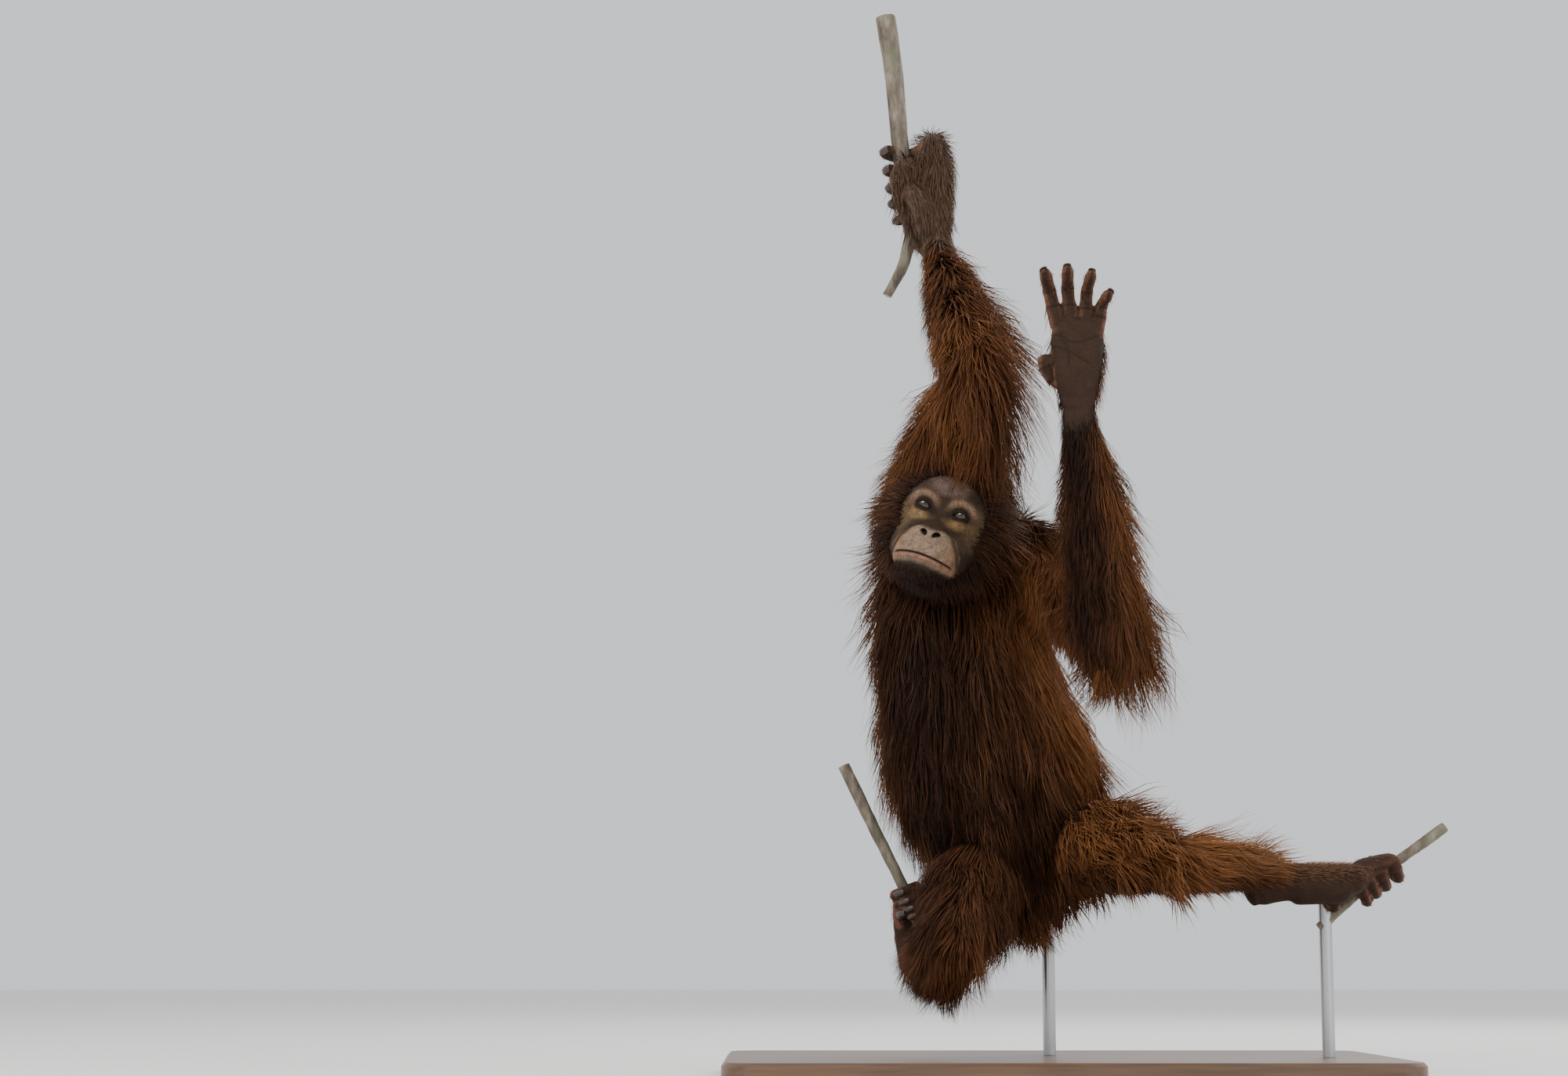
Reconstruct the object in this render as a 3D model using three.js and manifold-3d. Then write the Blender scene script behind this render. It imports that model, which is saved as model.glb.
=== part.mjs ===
// A young orangutan, life size, hanging by its right hand from a cut branch and held by a display stand.
// Millimetres, +Z up. The animal looks towards -Y and its own right side is towards -X.
// The origin lies under the middle of the stand's base, on the floor.
import * as THREE from 'three';
import { mergeVertices } from 'three/addons/utils/BufferGeometryUtils.js';
import Module from 'manifold-3d';

const wasm = await Module();
wasm.setup();

// Driving sizes
const gap = 0.4;
const pelvisAt = [-26, 30, 248];
const bone = {
  trunk: 261,
  shoulderRise: 96,
  upperArm: 212,
  forearm: 246,
  thigh: 180,
  shank: 155,
};
const shoulderHalf = 56;
const hipHalf = 42;
const eyeRadius = 10.5;
const base = { width: 720, depth: 420, thick: 22, bevel: 4 };
const rodRadius = 7;

// Bearing from +X towards +Y and rise above the level, in degrees
const pose = {
  trunk: [180, 76],
  shoulders: [-5, -18.5],
  upperArmRight: [-72.9, 42.2],
  forearmRight: [100.4, 47.1],
  upperArmLeft: [-65.5, -32],
  forearmLeft: [-108.3, 64.3],
  thighRight: [-110.8, -35.2],
  shankRight: [98.4, -8.5],
  thighLeft: [-67.9, -10],
  shankLeft: [20.4, -3.3],
  gaze: [-100.8, -0.9],
};
const headTilt = 19.7;
const headAt = [-120, -55, 589];

// Small helpers
const up = new THREE.Vector3(0, 0, 1);
const down = new THREE.Vector3(0, 0, -1);
const front = new THREE.Vector3(0, -1, 0);

function v3(x, y, z) {
  return new THREE.Vector3(x, y, z);
}

function aim([bearing, rise], length = 1) {
  const b = THREE.MathUtils.degToRad(bearing);
  const r = THREE.MathUtils.degToRad(rise);
  return v3(Math.cos(r) * Math.cos(b), Math.cos(r) * Math.sin(b), Math.sin(r)).multiplyScalar(length);
}

function step(from, way, length) {
  return from.clone().addScaledVector(way, length);
}

function between(a, b, t) {
  return a.clone().lerp(b, t);
}

function flatTo(way, normal) {
  return way.clone().addScaledVector(normal, -way.dot(normal)).normalize();
}

function seeded(seed) {
  let state = seed;
  return () => {
    state = (state * 1664525 + 1013904223) % 4294967296;
    return state / 4294967296;
  };
}

// Joints of the skeleton
const pelvis = v3(...pelvisAt);
const chest = step(pelvis, aim(pose.trunk), bone.trunk);
const shoulderMid = chest.clone().add(v3(2, -5, bone.shoulderRise));
const shoulder = {
  right: step(shoulderMid, aim(pose.shoulders), -shoulderHalf),
  left: step(shoulderMid, aim(pose.shoulders), shoulderHalf),
};
const elbow = {
  right: step(shoulder.right, aim(pose.upperArmRight), bone.upperArm),
  left: step(shoulder.left, aim(pose.upperArmLeft), bone.upperArm),
};
const wrist = {
  right: step(elbow.right, aim(pose.forearmRight), bone.forearm),
  left: step(elbow.left, aim(pose.forearmLeft), bone.forearm),
};
const hip = {
  right: pelvis.clone().add(v3(-hipHalf, 0, 0)),
  left: pelvis.clone().add(v3(hipHalf, 0, 5)),
};
const knee = {
  right: step(hip.right, aim(pose.thighRight), bone.thigh),
  left: step(hip.left, aim(pose.thighLeft), bone.thigh),
};
const ankle = {
  right: step(knee.right, aim(pose.shankRight), bone.shank),
  left: step(knee.left, aim(pose.shankLeft), bone.shank),
};

// Closed meshes and their solids
function stack(rings, startPole, endPole) {
  const sides = rings[0].length;
  const points = [startPole, ...rings.flat(), endPole];
  const index = [];
  const at = (ring, side) => 1 + ring * sides + (side % sides);
  const last = points.length - 1;
  for (let side = 0; side < sides; side += 1) {
    index.push(0, at(0, side + 1), at(0, side));
    index.push(last, at(rings.length - 1, side), at(rings.length - 1, side + 1));
    for (let ring = 0; ring < rings.length - 1; ring += 1) {
      index.push(at(ring, side), at(ring, side + 1), at(ring + 1, side + 1));
      index.push(at(ring, side), at(ring + 1, side + 1), at(ring + 1, side));
    }
  }
  const geometry = new THREE.BufferGeometry().setFromPoints(points);
  geometry.setIndex(index);
  return geometry;
}

function toSolid(geometry) {
  geometry.deleteAttribute('normal');
  geometry.deleteAttribute('uv');
  const merged = mergeVertices(geometry, 1e-4);
  return new wasm.Manifold(new wasm.Mesh({
    numProp: 3,
    vertProperties: new Float32Array(merged.attributes.position.array),
    triVerts: new Uint32Array(merged.index.array),
  }));
}

function toGeometry(solid) {
  const mesh = solid.getMesh();
  const geometry = new THREE.BufferGeometry();
  geometry.setAttribute('position', new THREE.BufferAttribute(new Float32Array(mesh.vertProperties), 3));
  geometry.setIndex(new THREE.BufferAttribute(new Uint32Array(mesh.triVerts), 1));
  return geometry;
}

function join(solids) {
  return wasm.Manifold.union(solids);
}

function largest(solid) {
  const shells = solid.decompose();
  return shells.reduce((a, b) => (b.volume() > a.volume() ? b : a));
}

// How far into a rounded end its rings stand
const capBends = [0.7];

// A rounded bar along a curve. A station is [point, half width, half depth, depth of the coat].
function bar({ stations, facing, sides = 12, rings = 6, caps = [20, 20] }) {
  const line = new THREE.CatmullRomCurve3(stations.map((s) => s[0]), false, 'catmullrom', 0.5);
  const sizes = stations.map((s) => v3(s[1], s[2], s[3] ?? 0));
  const half = new THREE.CatmullRomCurve3(sizes, false, 'catmullrom', 0.5);
  const length = line.getLength();
  const capShare = caps.map((cap) => cap / length);

  function frame(t) {
    const along = line.getTangent(t);
    const depth = flatTo(facing, along);
    const width = depth.clone().cross(along);
    return { along, depth, width };
  }

  // How far a place is into a rounded end: 1 at the pole, 0 on the bar's straight part
  function inCap(t) {
    if (t < capShare[0]) return [1 - t / capShare[0], -1];
    if (t > 1 - capShare[1]) return [1 - (1 - t) / capShare[1], 1];
    return [0, 1];
  }

  function surface(t, angle, grow = 0) {
    const { along, depth, width } = frame(t);
    const [u, end] = inCap(t);
    const shrink = Math.sqrt(Math.max(0, 1 - u * u));
    const size = half.getPoint(t);
    const point = line.getPoint(t);
    point.addScaledVector(width, Math.cos(angle) * (size.x + grow) * shrink);
    point.addScaledVector(depth, Math.sin(angle) * (size.y + grow) * shrink);
    point.addScaledVector(along, end * grow * u);
    return point;
  }

  function normal(t, angle) {
    const { along, depth, width } = frame(t);
    const [u, end] = inCap(t);
    const size = half.getPoint(t);
    return v3(0, 0, 0)
      .addScaledVector(width, Math.cos(angle) * size.y)
      .addScaledVector(depth, Math.sin(angle) * size.x)
      .normalize()
      .multiplyScalar(Math.sqrt(1 - u * u))
      .addScaledVector(along, end * u)
      .normalize();
  }

  function geometry(grow) {
    const places = [];
    capBends.forEach((u) => places.push(capShare[0] * (1 - u)));
    for (let i = 0; i <= rings; i += 1) {
      places.push(capShare[0] + (1 - capShare[0] - capShare[1]) * (i / rings));
    }
    [...capBends].reverse().forEach((u) => places.push(1 - capShare[1] * (1 - u)));
    const loops = places.map((t) => {
      const loop = [];
      for (let side = 0; side < sides; side += 1) {
        loop.push(surface(t, (side / sides) * Math.PI * 2, grow));
      }
      return loop;
    });
    return stack(loops, surface(0, 0, grow), surface(1, 0, grow));
  }

  return {
    line,
    frame,
    surface,
    normal,
    coatAt: (t) => half.getPoint(t).z,
    solid: (grow = 0) => toSolid(geometry(grow)),
  };
}

// The head: a surface pulled from an oval skull through its landmarks, [right, forward, up] from its middle
const skull = { width: 57, front: 62, back: 76, top: 64, bottom: 60 };
const landmarks = {
  crown: [0, -5, 64],
  forehead: [0, 44, 52],
  foreheadSide: [30, 38, 44],
  browMiddle: [0, 60, 29],
  brow: [20, 62, 28],
  browEnd: [37, 49, 25],
  noseRoot: [0, 59, 13],
  lid: [21, 61, 14],
  eyeCorner: [37, 49, 11],
  underEye: [21, 61, 0],
  cheek: [35, 50, -10],
  noseBridge: [0, 68, 2],
  noseTip: [0, 80, -9],
  noseWing: [11, 80, -12],
  noseBase: [0, 87, -19],
  upperLip: [0, 94, -31],
  upperLipSide: [20, 86, -31],
  lipEdge: [0, 95, -37],
  lipCorner: [32, 71, -41],
  lowerLip: [0, 90, -46],
  lowerLipSide: [19, 80, -50],
  chin: [0, 77, -62],
  chinSide: [22, 63, -60],
  jaw: [43, 30, -46],
  throat: [0, 36, -66],
  temple: [50, 22, 24],
  side: [57, 0, 0],
  jawBack: [52, 0, -34],
  nape: [0, -52, -40],
  occiput: [0, -75, 8],
};
const landmarkReach = 0.24;

function skullRadius(way) {
  const y = way.y > 0 ? skull.front : skull.back;
  const z = way.z > 0 ? skull.top : skull.bottom;
  return 1 / Math.sqrt((way.x / skull.width) ** 2 + (way.y / y) ** 2 + (way.z / z) ** 2);
}

function nearness(a, b) {
  const away = Math.acos(Math.min(1, a.dot(b))) / landmarkReach;
  return (1 + away + (away * away) / 3) * Math.exp(-away);
}

function solve(matrix, values) {
  const n = values.length;
  const rows = matrix.map((row, i) => [...row, values[i]]);
  for (let i = 0; i < n; i += 1) {
    for (let j = i + 1; j < n; j += 1) {
      const share = rows[j][i] / rows[i][i];
      for (let k = i; k <= n; k += 1) rows[j][k] -= share * rows[i][k];
    }
  }
  const answer = new Array(n).fill(0);
  for (let i = n - 1; i >= 0; i -= 1) {
    let sum = rows[i][n];
    for (let k = i + 1; k < n; k += 1) sum -= rows[i][k] * answer[k];
    answer[i] = sum / rows[i][i];
  }
  return answer;
}

const marks = Object.values(landmarks).flatMap(([x, y, z]) => {
  const mark = v3(x, y, z);
  return x ? [mark, v3(-x, y, z)] : [mark];
});
const markWays = marks.map((mark) => mark.clone().normalize());
const markPulls = solve(
  markWays.map((a) => markWays.map((b) => nearness(a, b))),
  marks.map((mark, i) => mark.length() - skullRadius(markWays[i])),
);

function headRadius(way) {
  return markWays.reduce((sum, mark, i) => sum + markPulls[i] * nearness(mark, way), skullRadius(way));
}

const headFrame = (() => {
  const forward = aim(pose.gaze);
  const level = forward.clone().cross(up).normalize();
  const upright = level.clone().cross(forward);
  const tilt = THREE.MathUtils.degToRad(headTilt);
  const right = level.clone().multiplyScalar(Math.cos(tilt)).addScaledVector(upright, Math.sin(tilt));
  const crown = right.clone().cross(forward);
  return new THREE.Matrix4().makeBasis(right, forward, crown).setPosition(v3(...headAt));
})();

function inHead(x, y, z) {
  return v3(x, y, z).applyMatrix4(headFrame);
}

function headWay(x, y, z) {
  return v3(x, y, z).transformDirection(headFrame);
}

// Rings run round the gaze, close together on the face
function headSolid(grow = 0) {
  const sides = 28;
  const faceRings = 15;
  const backRings = 5;
  const faceEdge = 1.25;
  const bends = [];
  for (let i = 1; i <= faceRings; i += 1) bends.push((faceEdge * i) / faceRings);
  for (let i = 1; i < backRings; i += 1) bends.push(faceEdge + ((Math.PI - faceEdge) * i) / backRings);
  const tip = (way) => {
    const local = way.clone().multiplyScalar(headRadius(way) + grow);
    return inHead(local.x, local.y, local.z);
  };
  const loops = bends.map((bend) => {
    const loop = [];
    for (let side = 0; side < sides; side += 1) {
      const turn = (side / sides) * Math.PI * 2;
      const across = Math.sin(bend);
      loop.push(tip(v3(across * Math.cos(turn), Math.cos(bend), across * Math.sin(turn))));
    }
    return loop;
  });
  return toSolid(stack(loops, tip(v3(0, 1, 0)), tip(v3(0, -1, 0))));
}

// Eyes, lids, mouth line and nostrils
const eyeAt = { right: [21, 50, 14], left: [-21, 50, 14] };
const lidOpening = { halfWidth: 8.5, halfHeight: 4.6 };

function eyeball(side, grow = 0) {
  const geometry = new THREE.SphereGeometry(eyeRadius + grow, 12, 7);
  const centre = inHead(...eyeAt[side]);
  return toSolid(geometry.translate(centre.x, centre.y, centre.z));
}

function lidCut(side) {
  const [x, y, z] = eyeAt[side];
  const loop = (forward, size) => {
    const points = [];
    for (let i = 0; i < 12; i += 1) {
      const turn = (i / 12) * Math.PI * 2;
      const height = Math.sin(turn) * lidOpening.halfHeight * (1 - 0.35 * Math.abs(Math.cos(turn)));
      points.push(inHead(x + Math.cos(turn) * lidOpening.halfWidth * size, y + forward, z + height * size));
    }
    return points.reverse();
  };
  return toSolid(stack([loop(2, 1), loop(24, 1.5)], inHead(x, y + 2, z), inHead(x, y + 24, z)));
}

function mouthCut() {
  const halfWidth = 31;
  const loops = [];
  for (let i = 0; i <= 12; i += 1) {
    const s = (i / 12) * 2 - 1;
    const x = s * halfWidth;
    const z = -41 - 1.5 * s * s;
    const surface = 94 - 25 * s * s;
    const open = 0.9 * (1 - 0.5 * Math.abs(s));
    loops.push([
      inHead(x, surface + 9, z - open),
      inHead(x, surface + 9, z + open),
      inHead(x, surface - 7, z + open / 2),
      inHead(x, surface - 7, z - open / 2),
    ]);
  }
  const endPole = (s) => inHead(s * (halfWidth + 1), 70, -42.5);
  return toSolid(stack(loops, endPole(-1), endPole(1)));
}

function nostrilCut(side) {
  const stations = [
    [inHead(side * 5, 74, -9), 1.6, 1.4],
    [inHead(side * 6.5, 84, -15), 3.4, 2.4],
    [inHead(side * 7.5, 92, -19), 5, 4],
  ];
  return bar({ stations, facing: headWay(0, 0, 1), sides: 8, rings: 3, caps: [2, 2] }).solid();
}

function earSolid(side, grow = 0) {
  const shell = new THREE.SphereGeometry(1, 10, 7);
  const hollow = new THREE.SphereGeometry(1, 8, 5);
  const place = new THREE.Matrix4().makeTranslation(side * 58, -6, 8);
  const lean = new THREE.Matrix4().makeRotationZ(side * -0.5);
  shell.scale(6 + grow, 11 + grow, 17 + grow).applyMatrix4(lean).applyMatrix4(place).applyMatrix4(headFrame);
  hollow.scale(4, 7.5, 12.5).translate(side * 3, 2.5, 0);
  hollow.applyMatrix4(lean).applyMatrix4(place).applyMatrix4(headFrame);
  const solid = toSolid(shell);
  return grow ? solid : solid.subtract(toSolid(hollow));
}

// Trunk, neck and limbs, with the coat's depth at each station
const trunkBar = bar({
  stations: [
    [pelvis.clone().add(v3(4, 6, -66)), 44, 40, 12],
    [pelvis.clone().add(v3(-6, 2, 2)), 86, 66, 16],
    [between(pelvis, chest, 0.4).add(v3(-16, -2, 0)), 103, 82, 16],
    [between(pelvis, chest, 0.72).add(v3(-18, -2, 0)), 94, 82, 17],
    [chest.clone().add(v3(-12, 4, 22)), 84, 72, 18],
    [chest.clone().add(v3(-4, 22, 72)), 76, 52, 20],
    [chest.clone().add(v3(0, 30, 122)), 46, 34, 22],
  ],
  facing: front,
  sides: 16,
  rings: 8,
  caps: [44, 30],
});

const neckBar = bar({
  stations: [
    [shoulderMid.clone().add(v3(-4, 34, -22)), 42, 44, 14],
    [shoulderMid.clone().add(v3(-16, -14, -12)), 44, 46, 14],
    [inHead(0, -20, -12), 42, 46, 10],
  ],
  facing: down,
  sides: 14,
  rings: 4,
  caps: [12, 12],
});

function limb(from, to, facing, sizes) {
  const stations = sizes.map(([t, width, depth, coat]) => [between(from, to, t), width, depth, coat]);
  return bar({ stations, facing, sides: 10, rings: 5, caps: [24, 16] });
}

const limbs = {
  upper_arm_right: limb(shoulder.right, elbow.right, v3(1, 0, 0),
    [[-0.12, 34, 40, 18], [0.2, 38, 42, 26], [0.6, 32, 34, 30], [0.9, 30, 30, 26], [1.06, 24, 24, 18]]),
  forearm_right: limb(elbow.right, wrist.right, v3(-1, 0, 0),
    [[-0.1, 28, 26, 22], [0.18, 33, 30, 20], [0.5, 28, 26, 16], [0.82, 20, 18, 9], [1.02, 17, 16, 5]]),
  upper_arm_left: limb(shoulder.left, elbow.left, up,
    [[-0.14, 34, 38, 16], [0.2, 36, 38, 22], [0.6, 32, 33, 28], [0.9, 30, 30, 30], [1.08, 24, 24, 22]]),
  forearm_left: limb(elbow.left, wrist.left, front,
    [[-0.1, 30, 28, 30], [0.18, 33, 31, 28], [0.5, 29, 27, 24], [0.82, 21, 20, 12], [1.02, 17, 16, 5]]),
  thigh_right: limb(hip.right, knee.right, down,
    [[-0.1, 50, 52, 14], [0.3, 46, 48, 18], [0.75, 36, 38, 24], [1.08, 28, 28, 22]]),
  shank_right: limb(knee.right, ankle.right, down,
    [[-0.1, 27, 26, 20], [0.25, 28, 28, 18], [0.65, 23, 22, 14], [1.04, 17, 18, 6]]),
  thigh_left: limb(hip.left, knee.left, down,
    [[-0.1, 50, 54, 14], [0.3, 47, 50, 18], [0.75, 38, 40, 20], [1.06, 30, 30, 18]]),
  shank_left: limb(knee.left, ankle.left, down,
    [[-0.1, 28, 28, 18], [0.25, 28, 28, 16], [0.65, 22, 22, 12], [1.04, 17, 18, 5]]),
};

// Cut lengths of branch that the hand and the feet hold
const branch = {
  hand: [v3(-177, 76, 1217), v3(-167, 76, 1140), v3(-160, 78, 1058), v3(-151, 86, 985), v3(-146, 90, 946)],
  handForkLeft: [v3(-148, 90, 958), v3(-158, 90, 920), v3(-177, 90, 884)],
  handForkRight: [v3(-146, 92, 956), v3(-118, 98, 925), v3(-82, 106, 894)],
  rightFoot: [v3(-230, 26, 339), v3(-198, 27, 272), v3(-165, 28, 205), v3(-148, 28, 162)],
  leftFoot: [v3(421, -30, 268), v3(384, -31, 242), v3(343, -32, 214), v3(314, -33, 189), v3(280, -34, 158)],
};
const branchRadius = {
  hand: [12, 9],
  handForkLeft: [8, 6],
  handForkRight: [8, 6],
  rightFoot: [7, 6],
  leftFoot: [6, 6],
};

function stick(name) {
  const points = branch[name];
  const [start, end] = branchRadius[name];
  const stations = points.map((point, i) => {
    const radius = start + (end - start) * (i / (points.length - 1));
    return [point, radius, radius];
  });
  return bar({ stations, facing: front, sides: 8, rings: points.length + 1, caps: [1.5, 1.5] });
}

const sticks = Object.fromEntries(Object.keys(branch).map((name) => [name, stick(name)]));

function handBranch(grow) {
  return join(['hand', 'handForkLeft', 'handForkRight'].map((name) => sticks[name].solid(grow)));
}

// A digit that bends round a stick, in degrees from its +X side towards its back.
// It comes in straight, from its root or from the nearest palm.
function wrap(stick, { at, from, to, drift = 0, root, size, clear = 1 }) {
  const centre = stick.line.getPoint(at);
  const along = stick.line.getTangent(at);
  const side = flatTo(v3(1, 0, 0), along);
  const back = side.clone().cross(along);
  const radius = stick.surface(at, 0).distanceTo(centre) + size + clear;
  const around = (degrees) => {
    const turn = THREE.MathUtils.degToRad(degrees);
    return v3(0, 0, 0).addScaledVector(side, Math.cos(turn)).addScaledVector(back, Math.sin(turn));
  };
  const entry = around(from + (to > from ? 90 : -90));
  const approach = step(step(centre, around(from), radius), entry, -12);
  const stations = [
    [root ?? step(approach, entry, -14), size * 1.15, size * 1.05],
    [approach, size * 1.08, size],
  ];
  for (let i = 0; i <= 4; i += 1) {
    const point = step(centre, around(from + ((to - from) * i) / 4), radius);
    point.addScaledVector(along, (drift * i) / 4);
    stations.push([point, size * (1 - 0.06 * i), size * (0.95 - 0.06 * i)]);
  }
  return bar({ stations, facing: along, sides: 6, rings: 6, caps: [4, 6] });
}

// A free digit with a light curl
function digit(points, size) {
  const stations = points.map((point, i) => [point, size * (1.1 - 0.09 * i), size * (1 - 0.09 * i)]);
  return bar({ stations, facing: front, sides: 6, rings: 5, caps: [4, 6] });
}

const palmEnd = {
  right: v3(-127, 80, 1062),
  left: v3(7, -252, 774),
};

const palms = {
  right: bar({
    stations: [
      [step(wrist.right, aim(pose.forearmRight), -6), 17, 15],
      [between(wrist.right, palmEnd.right, 0.3).add(v3(3, 0, 0)), 22, 17],
      [between(wrist.right, palmEnd.right, 0.75).add(v3(4, 0, 0)), 30, 19],
      [palmEnd.right.clone().add(v3(2, 0, 8)), 25, 14],
    ],
    facing: v3(-1, 0, 0),
    sides: 12,
    rings: 6,
    caps: [8, 12],
  }),
  left: bar({
    stations: [
      [step(wrist.left, aim(pose.forearmLeft), -6), 16, 14],
      [between(wrist.left, palmEnd.left, 0.3), 23, 13],
      [between(wrist.left, palmEnd.left, 0.75), 28, 12],
      [palmEnd.left.clone().add(v3(0, 0, 6)), 24, 10],
    ],
    facing: front,
    sides: 12,
    rings: 6,
    caps: [8, 12],
  }),
};

const fingerNames = ['index', 'middle', 'ring', 'little'];
const digits = {};

// The right fingers pass behind the branch, their tips showing on its far side
fingerNames.forEach((name, i) => {
  digits[`finger_${name}_right`] = wrap(sticks.hand, {
    at: 0.52 + i * 0.066,
    from: 25,
    to: 236 - i * 4,
    drift: -4,
    size: 7.6 - i * 0.3,
  });
});
digits.thumb_right = wrap(sticks.hand, {
  at: 0.8,
  from: -60,
  to: -160,
  drift: 2,
  size: 7.2,
});

// The left fingers stand up, a little spread and bent towards the front
const leftTips = { index: [-26, 824], middle: [-5, 828], ring: [20, 823], little: [38, 801] };
fingerNames.forEach((name, i) => {
  const root = palmEnd.left.clone().add(v3(-20 + i * 13.5, 2, -4 - Math.max(0, i - 1) * 3));
  const [tipX, tipZ] = leftTips[name];
  const tip = v3(tipX, palmEnd.left.y - 30, tipZ);
  const bend = between(root, tip, 0.55).add(v3(0, 14, 10));
  digits[`finger_${name}_left`] = digit([root, between(root, bend, 0.5), bend, tip], 7.4 - i * 0.3);
});
digits.thumb_left = digit([v3(-8, -238, 714), v3(-22, -246, 724), v3(-29, -252, 742)], 8.2);

// Feet: a sole, four toes and a great toe that grip the cut stems
const feet = {
  right: bar({
    stations: [
      [v3(-148, 68, 108), 18, 18],
      [v3(-150, 64, 136), 21, 18],
      [v3(-152, 60, 168), 23, 15],
      [v3(-154, 55, 198), 21, 12],
    ],
    facing: front,
    sides: 12,
    rings: 6,
    caps: [12, 8],
  }),
  left: bar({
    stations: [
      [v3(202, -72, 198), 17, 19],
      [v3(232, -70, 206), 20, 20],
      [v3(280, -66, 208), 25, 18],
      [v3(324, -62, 211), 24, 16],
    ],
    facing: down,
    sides: 12,
    rings: 6,
    caps: [12, 8],
  }),
};

const toeNames = ['first', 'second', 'third', 'fourth'];
toeNames.forEach((name, i) => {
  digits[`toe_${name}_right`] = wrap(sticks.rightFoot, {
    at: 0.7 + i * 0.07,
    from: 60,
    to: -150 + i * 6,
    size: 6.4 - i * 0.2,
  });
  digits[`toe_${name}_left`] = wrap(sticks.leftFoot, {
    at: 0.4 + i * 0.09,
    from: 290,
    to: 425 - i * 8,
    root: v3(312 - i * 6, -70 + i * 2, 222 - i * 9),
    size: 7.4 - i * 0.25,
  });
});
digits.toe_great_right = wrap(sticks.rightFoot, {
  at: 0.86,
  from: 120,
  to: 245,
  size: 7,
});
digits.toe_great_left = wrap(sticks.leftFoot, {
  at: 0.86,
  from: 200,
  to: 70,
  root: v3(286, -62, 200),
  size: 7.2,
});

// The display stand
function standBase() {
  const { width, depth, thick, bevel } = base;
  const outline = new THREE.Shape();
  const x = width / 2 - bevel;
  const y = depth / 2 - bevel;
  const round = 30;
  outline.moveTo(-x + round, -y);
  outline.lineTo(x - round, -y);
  outline.absarc(x - round, -y + round, round, -Math.PI / 2, 0);
  outline.absarc(x - round, y - round, round, 0, Math.PI / 2);
  outline.absarc(-x + round, y - round, round, Math.PI / 2, Math.PI);
  outline.absarc(-x + round, -y + round, round, Math.PI, Math.PI * 1.5);
  const geometry = new THREE.ExtrudeGeometry(outline, {
    depth: thick - bevel,
    bevelSize: bevel,
    bevelThickness: bevel,
    bevelSegments: 1,
    curveSegments: 5,
  });
  return toSolid(geometry).trimByPlane([0, 0, 1], 0);
}

function rod(x, y, top) {
  const height = top - base.thick - gap;
  const geometry = new THREE.CylinderGeometry(rodRadius, rodRadius, height, 16);
  geometry.rotateX(Math.PI / 2).translate(x, y, base.thick + gap + height / 2);
  return toSolid(geometry);
}

// Colours, roughness and metalness
const finishes = {
  coat: [0x4a2a14, 0.85, 0],
  face: [0x5d4a3d, 0.7, 0],
  skin: [0x3a2a24, 0.7, 0],
  eye: [0x1a0f0a, 0.1, 0],
  bark: [0x7d7262, 0.9, 0],
  steel: [0x8d9196, 0.35, 1],
  wood: [0x6d4a2c, 0.5, 0],
};

// Each piece: its name, its finish, and its shape at a given growth
const pieces = [];
const bothSides = { right: 1, left: -1 };

function piece(name, finish, shape) {
  pieces.push({ name, finish, shape });
}

piece('stand_base', 'wood', standBase);
piece('perch_hand', 'bark', handBranch);
piece('perch_foot_right', 'bark', (grow) => sticks.rightFoot.solid(grow));
piece('perch_foot_left', 'bark', (grow) => sticks.leftFoot.solid(grow));
piece('stand_rod_perch', 'steel', () => rod(287, -34, 190));
Object.keys(bothSides).forEach((side) => piece(`eye_${side}`, 'eye', (grow) => eyeball(side, grow)));
piece('head', 'face', headSolid);
Object.entries(bothSides).forEach(([side, sign]) => {
  piece(`ear_${side}`, 'skin', (grow) => earSolid(sign, grow));
});
Object.keys(bothSides).forEach((side) => piece(`hand_${side}`, 'skin', (grow) => palms[side].solid(grow)));
Object.keys(bothSides).forEach((side) => piece(`foot_${side}`, 'skin', (grow) => feet[side].solid(grow)));
Object.entries(digits).forEach(([name, shape]) => piece(name, 'skin', (grow) => shape.solid(grow)));
piece('torso', 'coat', (grow) => trunkBar.solid(grow));
piece('neck', 'coat', (grow) => neckBar.solid(grow));
Object.entries(limbs).forEach(([name, shape]) => piece(name, 'coat', (grow) => shape.solid(grow)));
piece('stand_rod_body', 'steel', () => rod(-4, 48, 215));

// Coats: locks are flat and tapered, leave the skin, bend over to their lie and hang with their weight
const lockShape = [[0, 0.72, 1], [0.4, 1, 1], [0.76, 0.7, 0.7]];
const lockSink = 7;

function lock({ root, out, lie, length, width, thick, lift, hang }, grow = 0) {
  const fall = down.clone().addScaledVector(out, -Math.min(0, down.dot(out)));
  const pathAt = (t) => {
    const rise = lift * t * (1 - 0.5 * t);
    const point = step(root, out, rise * length - lockSink * (1 - Math.min(1, t * 4)));
    point.addScaledVector(lie, length * (t - 0.3 * lift * t * t));
    return point.addScaledVector(fall, hang * length * t * t);
  };
  const side = lie.clone().cross(out).normalize();
  const loops = lockShape.map(([t, wide, deep]) => {
    const centre = pathAt(t);
    const along = flatTo(pathAt(t + 0.02).sub(pathAt(t - 0.02)), side);
    const top = side.clone().cross(along);
    const half = (width / 2) * wide + grow * 2;
    const rise = (thick / 2) * deep + grow;
    return [
      centre.clone().addScaledVector(side, -half).addScaledVector(top, -rise),
      centre.clone().addScaledVector(top, rise * 1.4),
      centre.clone().addScaledVector(side, half).addScaledVector(top, -rise),
    ];
  });
  const way = pathAt(0.1).sub(pathAt(0)).normalize();
  return toSolid(stack(loops, step(pathAt(0), way, -1 - grow), step(pathAt(1), lie, grow * 2)));
}

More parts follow.
